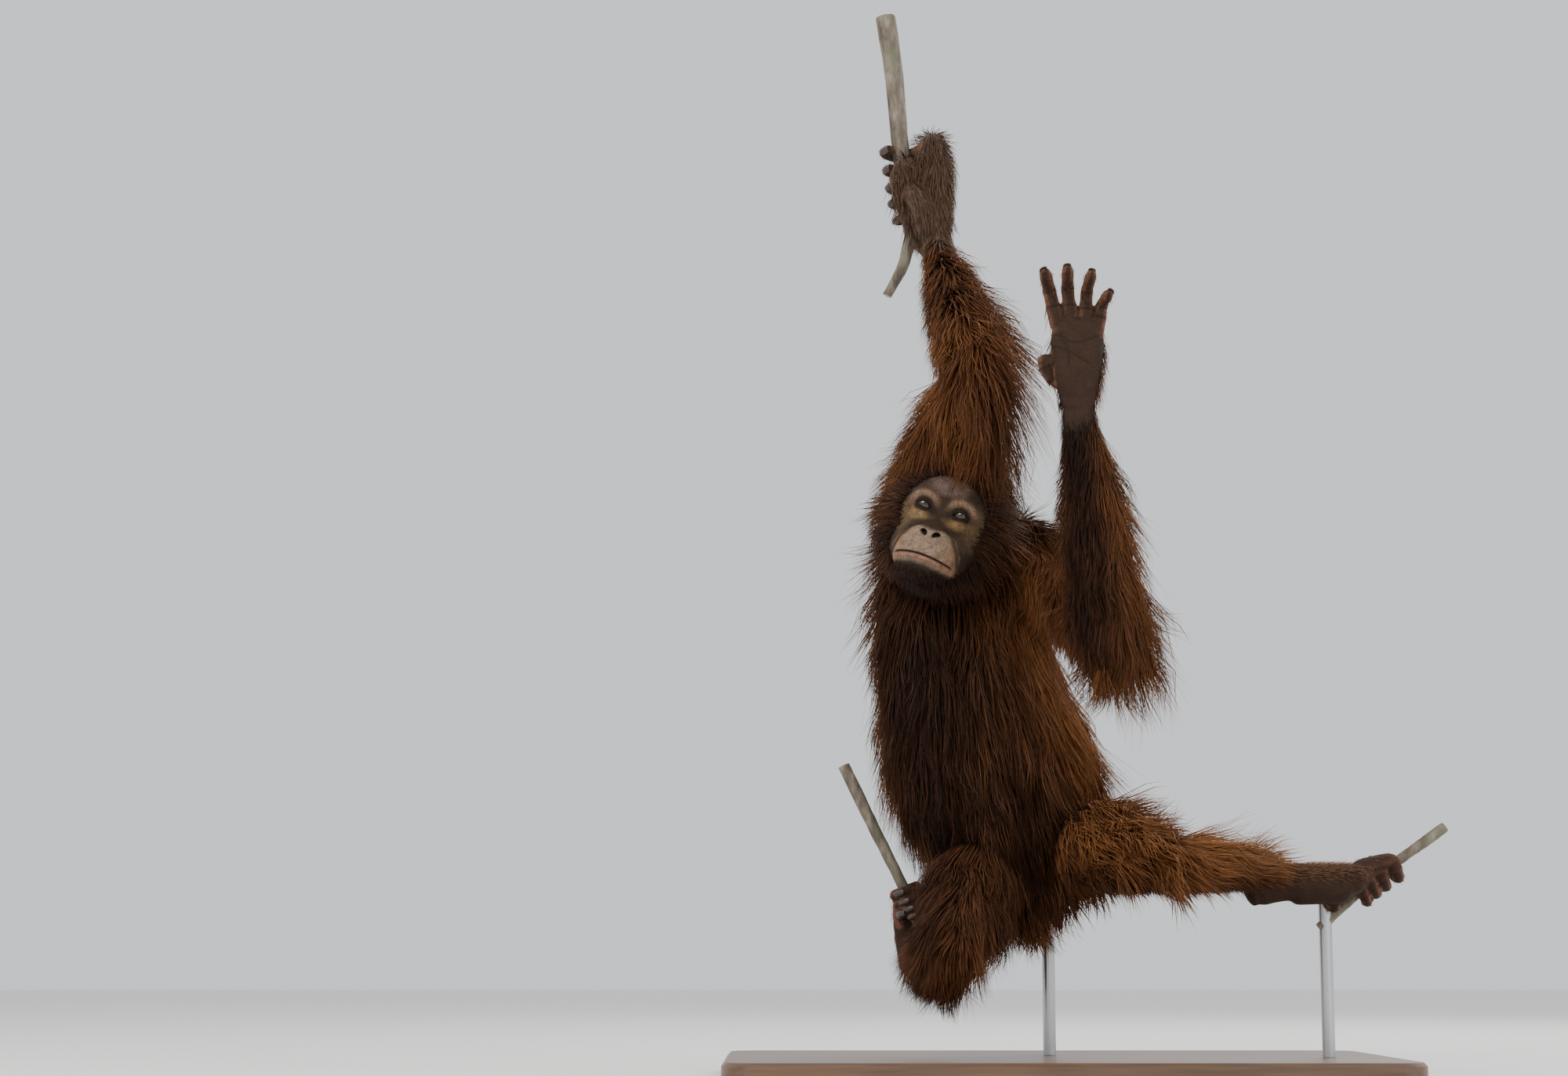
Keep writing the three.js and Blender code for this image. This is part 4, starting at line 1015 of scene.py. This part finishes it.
def skinLook(tree):
    spot = tree.place()
    tint, mask = tree.attribute("tint", "Color"), tree.attribute("faceMask")
    pores, blotch = tree.noise(spot, 900, 2), tree.noise(spot, 120, 4)
    edges = {"feature": "DISTANCE_TO_EDGE"}
    cells = tree.add("ShaderNodeTexVoronoi", edges, {"Vector": spot, "Scale": 420}, "Distance")
    lines = cells.fit(0.0, 0.12)
    speck = tree.noise(spot, 620, 3, 0.7)
    colour = tree.blend(blotch.fit(0.38, 0.72, 0.0, 0.35), tint, (0.022, 0.013, 0.008))
    colour = tree.blend(speck.fit(0.46, 0.62, 0.0, 0.5), colour, (0.018, 0.011, 0.007))
    # painted shade in the fine wrinkle lines
    colour = tree.blend(lines.fit(0.0, 1.0, 0.25, 0.0), colour, (0.015, 0.009, 0.007))
    crease = tree.attribute("crease")
    # painted shade in the creases of the palm and knuckles
    colour = tree.blend(crease * 0.65, colour, (0.010, 0.006, 0.004))
    height = lines * 0.6 + pores * 0.4 + blotch * 1.2 - crease * 2.2
    rough = 0.62 + blotch * 0.2 - mask * 0.06
    return {"Base Color": colour, "Roughness": rough, "Height": (0.55, 0.0009, height)}


coatMaterial = material("coat", coatLook, Specular_IOR_Level=0.12)
skinMaterial = material("bareSkin", skinLook, Specular_IOR_Level=0.12)
skin.data.materials.clear()
skin.data.materials.append(skinMaterial)


# The coat: tufts set on the skin by a node tree, one piece for each stretch of the body

tuftSizes = {
    "rings": (0.0, 0.34, 0.68), "widths": (0.75, 1.0, 0.62), "flat": 0.38,
    "clumps": ((38.0, 3.2), (160.0, 2.4)),   # scale of the noise, and its share of Spread
    "stray": 0.45, "sag": 2.2, "settle": -0.35, "curl": 0.55, "curlScale": 26.0,
    "reachRange": (0.7, 1.2), "liftRange": (0.5, 1.7), "widthRange": (0.7, 1.3),
    "narrow": (0.004, 0.06, 0.45, 1.0),   # from and to of reach in metres, and of the width's share
    "cell": 0.235, "tuftCell": 0.003,   # a piece's and a tuft's room in the UV map
    "columns": 4, "margin": 0.01,   # the pieces' places there
}
tuftInputs = {
    "Density": ("Float", 1e5), "Seed": ("Int", 1), "Width": ("Float", 0.0016), "Spread": ("Float", 0.22),
    "Cell": ("Vector", (0, 0, 0)),
}


def tuftShape():
    points, along, aside = [], [], []
    for t, w in zip(tuftSizes["rings"], tuftSizes["widths"]):
        for x, y in ((-0.5, -0.3), (0.5, -0.3), (0.0, 0.6)):
            points.append((x * w, y * w * tuftSizes["flat"], t))
            along.append(t)
            aside.append(x)
    points.append((0, 0, 1))
    along.append(1)
    aside.append(0)
    faces = [(2, 1, 0)]
    for ring in range(2):
        a, b = ring * 3, ring * 3 + 3
        faces += [(a + i, a + (i + 1) % 3, b + (i + 1) % 3, b + i) for i in range(3)]
    faces += [(6, 7, 9), (7, 8, 9), (8, 6, 9)]
    shape = newObject("tuftShape", np.array(points) / mm, faces)
    store(shape.data, "along", along)
    store(shape.data, "aside", aside)
    return shape


def coatTree(shape):
    group = bpy.data.node_groups.new("coatTufts", "GeometryNodeTree")
    interface = group.interface
    interface.new_socket("Geometry", in_out="INPUT", socket_type="NodeSocketGeometry")
    inputs = {}
    for name, (kind, value) in tuftInputs.items():
        socket = interface.new_socket(name, in_out="INPUT", socket_type="NodeSocket" + kind)
        socket.default_value = value
        inputs[name] = socket.identifier
    interface.new_socket("Geometry", in_out="OUTPUT", socket_type="NodeSocketGeometry")
    tree = Tree(group)
    start = tree.add("NodeGroupInput")
    given = {name: start.output(name) for name in ("Geometry", *inputs)}

    def named(name, kind="FLOAT"):
        return tree.add("GeometryNodeInputNamedAttribute", {"data_type": kind}, {"Name": name}, "Attribute")

    def vector(operation, first, second):
        return tree.add("ShaderNodeVectorMath", {"operation": operation}, [first, second])

    def scaled(way, size):
        return tree.add("ShaderNodeVectorMath", {"operation": "SCALE"}, {0: way, "Scale": size})

    def chance(low, high, seed):
        sockets = {2: low, 3: high, "Seed": given["Seed"] + seed}
        return tree.add("FunctionNodeRandomValue", {"data_type": "FLOAT"}, sockets, 1)

    def chanceWay(seed):
        sockets = {0: (-1, -1, -1), 1: (1, 1, 1), "Seed": given["Seed"] + seed}
        return tree.add("FunctionNodeRandomValue", {"data_type": "FLOAT_VECTOR"}, sockets)

    def keep(geometry, name, value, kind="FLOAT", domain="POINT"):
        sockets = {"Geometry": geometry, "Name": name, "Value": value}
        return tree.add("GeometryNodeStoreNamedAttribute", {"data_type": kind, "domain": domain}, sockets)

    def split(value):
        x = tree.add("ShaderNodeSeparateXYZ", None, {"Vector": value})
        return x, x.output("Y"), x.output("Z")

    scatter = {"Mesh": given["Geometry"], "Density": given["Density"] * named("thick"), "Seed": given["Seed"]}
    points = tree.add("GeometryNodeDistributePointsOnFaces", None, scatter, "Points")
    points = keep(points, "rootNormal", points.output("Normal"), "FLOAT_VECTOR")
    points = keep(points, "shade", chance(0, 1, 11))
    points = keep(points, "reach", named("reach") * chance(*tuftSizes["reachRange"], 12))
    normal = named("rootNormal", "FLOAT_VECTOR")
    spot = tree.add("GeometryNodeInputPosition")

    def waver(scale, detail):
        sockets = {"Vector": spot, "Scale": scale, "Detail": detail}
        return vector("SUBTRACT", tree.add("ShaderNodeTexNoise", None, sockets, "Color"), (0.5, 0.5, 0.5))

    raised = scaled(normal, named("lift") * chance(*tuftSizes["liftRange"], 13))
    direction = vector("ADD", named("lie", "FLOAT_VECTOR"), raised)
    for scale, amount in tuftSizes["clumps"]:
        direction = vector("ADD", direction, scaled(waver(scale, 1.0), given["Spread"] * amount))
    direction = vector("ADD", direction, scaled(chanceWay(14), given["Spread"] * tuftSizes["stray"]))
    turn = tree.add("FunctionNodeAxesToRotation", {"primary_axis": "Z", "secondary_axis": "Y"},
                    {"Primary Axis": direction, "Secondary Axis": normal})
    across = given["Width"] * chance(*tuftSizes["widthRange"], 15)
    across = across * named("reach").fit(*tuftSizes["narrow"])
    size = tree.add("ShaderNodeCombineXYZ", None, [across, across, named("reach")])
    body = tree.add("GeometryNodeObjectInfo", None, {"Object": shape}, "Geometry")
    sockets = {"Points": points, "Instance": body, "Rotation": turn, "Scale": size}
    tufts = tree.add("GeometryNodeInstanceOnPoints", None, sockets)
    tufts = tree.add("GeometryNodeRealizeInstances", None, {"Geometry": tufts})
    along = named("along")
    fall = vector("ADD", (0, 0, -1), scaled(normal, split(normal)[2].math("MAXIMUM", 0.0)))
    sag = along * along * named("reach")
    offset = scaled(fall, sag * named("hang") * tuftSizes["sag"])
    offset = vector("ADD", offset, scaled(normal, sag * named("lift") * tuftSizes["settle"]))
    offset = vector("ADD", offset, scaled(waver(tuftSizes["curlScale"], 0.0), sag * tuftSizes["curl"]))
    tufts = tree.add("GeometryNodeSetPosition", None, {"Geometry": tufts, "Offset": offset})
    aroundX, aroundY, run = split(named("unwrap", "FLOAT_VECTOR"))
    cellX, cellY, _ = split(given["Cell"])
    angle = aroundY.math("ARCTAN2", aroundX)
    u = cellX + (angle / 6.2832 + 0.5) * tuftSizes["cell"] + named("aside") * tuftSizes["tuftCell"]
    v = cellY + run * tuftSizes["cell"] + along * tuftSizes["tuftCell"]
    uv = tree.add("ShaderNodeCombineXYZ", None, [u, v, 0.0])
    tufts = keep(tufts, "OFBake", uv, "FLOAT2", "CORNER")
    tufts = tree.add("GeometryNodeSetMaterial", None, {"Geometry": tufts, "Material": coatMaterial})
    tree.add("NodeGroupOutput", None, {"Geometry": tufts})
    return group, inputs


coatPieces = {   # tufts, width and spread of each stretch, and the parts that it covers
    "coat_head": (11500, 0.0013, 0.20, ("head", "neck")),
    "coat_torso_upper": (12200, 0.0017, 0.16, ("torso",)),
    "coat_torso_lower": (12200, 0.0017, 0.16, ("torso",)),
    "coat_upper_arm_right": (8200, 0.0015, 0.22, ("upper_arm_right",)),
    "coat_forearm_right": (8200, 0.0014, 0.22, ("forearm_right",)),
    "coat_upper_arm_left": (8200, 0.0015, 0.22, ("upper_arm_left",)),
    "coat_forearm_left": (9800, 0.0014, 0.22, ("forearm_left",)),
    "coat_leg_right": (10500, 0.0015, 0.20, ("thigh_right", "shank_right")),
    "coat_leg_left": (11500, 0.0015, 0.20, ("thigh_left", "shank_left")),
}


skinOnly = (   # what the tufts read from the skin and don't keep
    "lie", "reach", "lift", "hang", "thick", "rootNormal", "unwrap", "aside", "tint", "faceMask", "crease",
)


def coatPiece(name, wanted, group, values):
    piece = link(skin.copy())
    piece.name, piece.data = name, skin.data.copy()

    def trim(work):
        bare = [f for f in work.faces if not wanted[f.index]]
        bmesh.ops.delete(work, geom=bare, context="FACES")

    edit(piece.data, trim)
    tufts = piece.modifiers.new("tufts", "NODES")
    tufts.node_group = group
    for socket, value in values.items():
        tufts[socket] = value
    bake(piece)
    for extra in skinOnly:
        if extra in piece.data.attributes:
            piece.data.attributes.remove(piece.data.attributes[extra])
    shadeSmooth(piece.data)
    print(name, len(piece.data.polygons), "faces")
    return piece


torsoSplit = 0.55   # where its two coat pieces meet, as a share of the way from pelvis to chest


def makeCoat():
    shape = tuftShape()
    group, inputs = coatTree(shape)
    mesh = skin.data
    corner = read(mesh.loops, "vertex_index", kind=int)[read(mesh.polygons, "loop_start", kind=int)]
    load = read(mesh.polygons, "area") * read(mesh.attributes["thick"].data, "value")[corner]
    upper = read(mesh.polygons, "center", 3)[:, 2] / mm > between(pelvis, chest, torsoSplit)[2]
    halves = {"coat_torso_upper": upper, "coat_torso_lower": ~upper}
    pieces = []
    columns, margin = tuftSizes["columns"], tuftSizes["margin"]
    for number, (name, (amount, width, spread, covers)) in enumerate(coatPieces.items()):
        wanted = np.isin(region[corner], [coatRegions.index(c) for c in covers]) & halves.get(name, True)
        row, column = divmod(number, columns)
        cell = (margin + column / columns, margin + row / columns, 0.0)
        density = float(amount / load[wanted].sum())
        values = {"Density": density, "Seed": 40 + number, "Width": width, "Spread": spread, "Cell": cell}
        pieces.append(coatPiece(name, wanted, group, {inputs[key]: value for key, value in values.items()}))
    bpy.data.objects.remove(shape)
    return pieces


coats = makeCoat()


# Eyes

def eyeLook(tree):
    iris = tree.attribute("iris")
    streaks = tree.noise(tree.place(), 900, 2)
    colour = iris.ramp((0.0, (0.002, 0.0015, 0.001)), (0.30, (0.003, 0.002, 0.0015)),
                       (0.34, (0.045, 0.017, 0.006)), (0.62, (0.028, 0.011, 0.005)),
                       (0.70, (0.006, 0.004, 0.003)), (1.0, (0.035, 0.020, 0.014)))
    colour = tree.blend(streaks * 0.3, colour, (0.01, 0.006, 0.004))
    return {"Base Color": colour, "Roughness": 0.22 + streaks * 0.1}


eyeMaterial = material("eye", eyeLook, Coat_Weight=0.85, Coat_Roughness=0.03, IOR=1.35)
eyeSizes = {"look": (0, 1, 0.22), "cornea": 0.25, "corneaWide": 0.42, "irisBend": 0.75}


def makeEye(side):
    b, t = polarAngles(40, 48)
    centre = np.array(face["eyeAt"], float) * (1 if side == "right" else -1, 1, 1)
    look = unit(np.array(eyeSizes["look"], float))
    across = unit(np.cross(look, up))
    rise = np.cross(across, look)
    sunk = face["eyeRadius"] - eyeSizes["cornea"]
    radius = sunk + 2 * eyeSizes["cornea"] * bump(b, eyeSizes["corneaWide"])
    ways = (np.cos(b)[..., None] * look + (np.sin(b) * np.cos(t))[..., None] * across
            + (np.sin(b) * np.sin(t))[..., None] * rise)
    ends = [inHead(centre + look * (face["eyeRadius"] + eyeSizes["cornea"])), inHead(centre - look * sunk)]
    eye = newObject(f"eyeball_{side}", *stack(inHead(centre + ways * radius[..., None]), *ends))
    bend = np.concatenate([[0], b.ravel(), [math.pi]])
    store(eye.data, "iris", np.clip(bend / eyeSizes["irisBend"], 0, 1))
    eye.data.materials.append(eyeMaterial)
    return eye


eyes = {side: makeEye(side) for side in ("right", "left")}


# Nails

def nailLook(tree):
    ridges = tree.noise(tree.place(), 1500, 2)
    colour = tree.blend(ridges, (0.030, 0.018, 0.014), (0.060, 0.038, 0.030))
    return {"Base Color": colour, "Roughness": 0.32 + ridges * 0.15, "Height": (0.3, 0.0003, ridges)}


nailMaterial = material("nail", nailLook)
nailSizes = {"wide": 0.95, "length": 11, "thick": 1.0, "proud": 0.7, "columns": 10, "rows": 10}


def makeNail(bar):
    columns, rows = nailSizes["columns"], nailSizes["rows"]
    span = nailSizes["length"] / bar.length
    runs = np.linspace(1 - span - bar.caps[1] * 0.35, 1 - bar.caps[1] * 0.3, rows)
    along, depth, width = bar.frameAt(runs)
    size = curveAt(bar.sizes, runs)
    angle = np.arctan2(depth @ bar.dorsal, width @ bar.dorsal)
    share = np.linspace(0, 1, rows)
    half = nailSizes["wide"] * (1 - 0.35 * np.maximum(0, share - 0.6) - 0.25 * (share < 0.12))
    turn = angle[:, None] + np.linspace(-1, 1, columns) * half[:, None]
    edge = np.abs(np.linspace(-1, 1, columns)) ** 4
    sheets = []
    for lift in (nailSizes["proud"], nailSizes["proud"] - nailSizes["thick"]):
        grow = lift - 0.9 * edge
        sheets.append(curveAt(bar.points, runs)[:, None]
                      + (np.cos(turn) * (size[:, :1] + grow))[..., None] * width[:, None]
                      + (np.sin(turn) * (size[:, 1:2] + grow))[..., None] * depth[:, None])
    points = np.vstack([sheet.reshape(-1, 3) for sheet in sheets])
    grid = np.arange(rows * columns).reshape(rows, columns)
    corners = (grid[:-1, :-1], grid[:-1, 1:], grid[1:, 1:], grid[1:, :-1])
    faces = []
    for quad in zip(*(corner.ravel() for corner in corners)):
        faces += [quad, tuple(grid.size + i for i in quad[::-1])]
    rim = [*grid[0], *grid[1:, -1], *grid[-1, -2::-1], *grid[-2:0:-1, 0]]
    for a, b in zip(rim, rim[1:] + rim[:1]):
        faces.append((b, a, grid.size + a, grid.size + b))
    return points, [tuple(int(i) for i in f) for f in faces]


nails = newObject("nails", *joined([makeNail(bar) for bar in digits.values()]))
edit(nails.data, lambda work: bmesh.ops.recalc_face_normals(work, faces=work.faces))
nails.data.materials.append(nailMaterial)
print("eyes and nails")


# Perches: the cut branches, with bark relief

def barkLook(tree):
    cut = tree.attribute("cut")
    spot = tree.place((1, 1, 0.35))
    coarse, grain = tree.noise(spot, 90, 5, 0.6), tree.noise(spot, 420, 3)
    patch = tree.noise(tree.place(), 28, 3)
    colour = coarse.ramp((0.30, (0.050, 0.038, 0.027)), (0.5, (0.135, 0.108, 0.078)),
                         (0.68, (0.25, 0.215, 0.165)))
    colour = tree.blend(patch.fit(0.5, 0.72, 0.0, 0.6), colour, (0.12, 0.125, 0.075))
    wood = tree.blend(grain, (0.42, 0.30, 0.17), (0.55, 0.42, 0.27))
    colour = tree.blend(cut, colour, wood)
    height = coarse + grain * 0.4
    return {"Base Color": colour, "Roughness": 0.72 + grain * 0.2, "Height": (0.8, 0.0015, height)}


barkMaterial = material("bark", barkLook)


barkSizes = {"grow": -0.35, "pitch": 2, "sides": 30, "voxel": 1.4, "deepest": -0.6, "proudest": 0.35}


def makePerch(name, bars):
    rods = [bar.mesh(barkSizes["pitch"], barkSizes["sides"], barkSizes["grow"]) for bar in bars]
    perch = newObject(name, *joined(rods))
    if len(bars) > 1:   # a fork: one surface over its arms
        remeshed(perch, barkSizes["voxel"])
    points, normals = coordinates(perch.data), vertexNormals(perch.data)
    relief = 0.28 * ripple(points * (1, 1, 0.3), 3.2, 61) + 0.22 * ripple(points * (1, 1, 0.6), 8, 62)
    cut = np.zeros(len(points))
    for bar in bars:
        for t, end in ((0.0, 0), (1.0, -1)):
            along, _, _ = bar.frameAt(t)
            near = np.linalg.norm(points - bar.points[end], axis=1) < bar.sizes[end, 0] + 2
            cut = np.maximum(cut, near * smooth(0.75, 0.92, np.abs(normals @ along)))
    relief = np.clip(relief, barkSizes["deepest"], barkSizes["proudest"])
    points = points + normals * (relief * (1 - cut))[:, None]
    setCoordinates(perch.data, points)
    store(perch.data, "cut", cut)
    shadeSmooth(perch.data)
    perch.data.materials.append(barkMaterial)
    return perch


perches = {
    "perch_hand": makePerch("branch_hand", [sticks["hand"], sticks["forkLeft"], sticks["forkRight"]]),
    "perch_foot_right": makePerch("branch_foot_right", [sticks["rightFoot"]]),
    "perch_foot_left": makePerch("branch_foot_left", [sticks["leftFoot"]]),
}


# Stand

def woodLook(tree):
    bands = {"wave_type": "BANDS", "bands_direction": "Y"}
    sockets = {"Scale": 2.2, "Distortion": 9.0, "Detail": 4.0, "Detail Scale": 1.6}
    rings = tree.add("ShaderNodeTexWave", bands, {"Vector": tree.place((0.5, 5, 5)), **sockets}, "Fac")
    grain = tree.noise(tree.place((1.2, 30, 30)), 12, 4, 0.6)
    mixed = rings * 0.3 + grain * 0.7
    colour = mixed.ramp((0.2, (0.070, 0.034, 0.016)), (0.55, (0.120, 0.062, 0.030)),
                        (0.9, (0.18, 0.098, 0.050)))
    return {"Base Color": colour, "Roughness": 0.34 + grain * 0.2, "Height": (0.25, 0.0004, grain)}


def steelLook(tree):
    brush = tree.noise(tree.place((1, 1, 60)), 40, 3)
    colour = tree.blend(brush, (0.42, 0.42, 0.43), (0.58, 0.58, 0.59))
    return {"Base Color": colour, "Roughness": 0.26 + brush * 0.18}


woodMaterial = material("baseWood", woodLook, Coat_Weight=0.15)
steelMaterial = material("rodSteel", steelLook, Metallic=1.0)
for node in ("stand_base", "stand_rod_body", "stand_rod_perch"):
    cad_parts[node].data.materials.clear()
    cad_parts[node].data.materials.append(woodMaterial if node == "stand_base" else steelMaterial)
print("perches and stand")

# Camera, light and floor

view = {"at": (-0.2957, -3.1, 0.125), "rise": 8.5, "lens": 64.8, "sensor": 36, "skyStrength": 0.95}
camera = link(bpy.data.objects.new("camera", bpy.data.cameras.new("camera")))
camera.location = view["at"]
camera.rotation_euler = (math.radians(90 + view["rise"]), 0, 0)
camera.data.lens = view["lens"]
camera.data.sensor_width = view["sensor"]
bpy.context.scene.camera = camera

lights = {   # place, aimed at, size, power, colour
    "key": ((-1.6, -2.2, 2.6), (0, 0, 0.6), 1.8, 90, (1.0, 0.97, 0.93)),
    "fill": ((2.4, -1.8, 1.4), (0, 0, 0.6), 2.2, 36, (0.95, 0.97, 1.0)),
    "rim": ((1.4, 2.0, 2.2), (0, 0, 0.7), 1.6, 45, (1.0, 0.98, 0.95)),
}
for name, (at, target, size, power, colour) in lights.items():
    lamp = bpy.data.lights.new(name, "AREA")
    lamp.shape, lamp.size, lamp.energy, lamp.color = "DISK", size, power, colour
    obj = link(bpy.data.objects.new(name, lamp))
    obj.location = at
    obj.rotation_euler = (Vector(target) - Vector(at)).to_track_quat("-Z", "Y").to_euler()

world = bpy.data.worlds.new("world")
world.use_nodes = True
sky = world.node_tree.nodes["Background"].inputs
sky["Color"].default_value = (0.95, 0.97, 1.0, 1)
sky["Strength"].default_value = view["skyStrength"]
bpy.context.scene.world = world


def floorLook(tree):
    cloud = tree.noise(tree.place(), 3, 2)
    colour = tree.blend(cloud, (0.82, 0.81, 0.79), (0.85, 0.84, 0.82))
    return {"Base Color": colour, "Roughness": 0.9}


floorHalf = 9.0 / mm
floorPoints = np.array([(-1, -1, 0), (1, -1, 0), (1, 1, 0), (-1, 1, 0)], float) * floorHalf
floor = newObject("floor", floorPoints, [(0, 1, 2, 3)], smoothFaces=False)
floor.data.materials.append(material("floor", floorLook))


# What each piece rides on and stands for

fleshNodes = ["head", "ear_right", "ear_left", *bodyBars, *nodeBars]
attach(skin, "root")
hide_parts(*fleshNodes)
for piece in coats:
    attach(piece, "root")
for side, eye in eyes.items():
    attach(eye, "root")
    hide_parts(f"eye_{side}")
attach(nails, "root")
for node, perch in perches.items():
    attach(perch, "root")
    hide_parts(node)
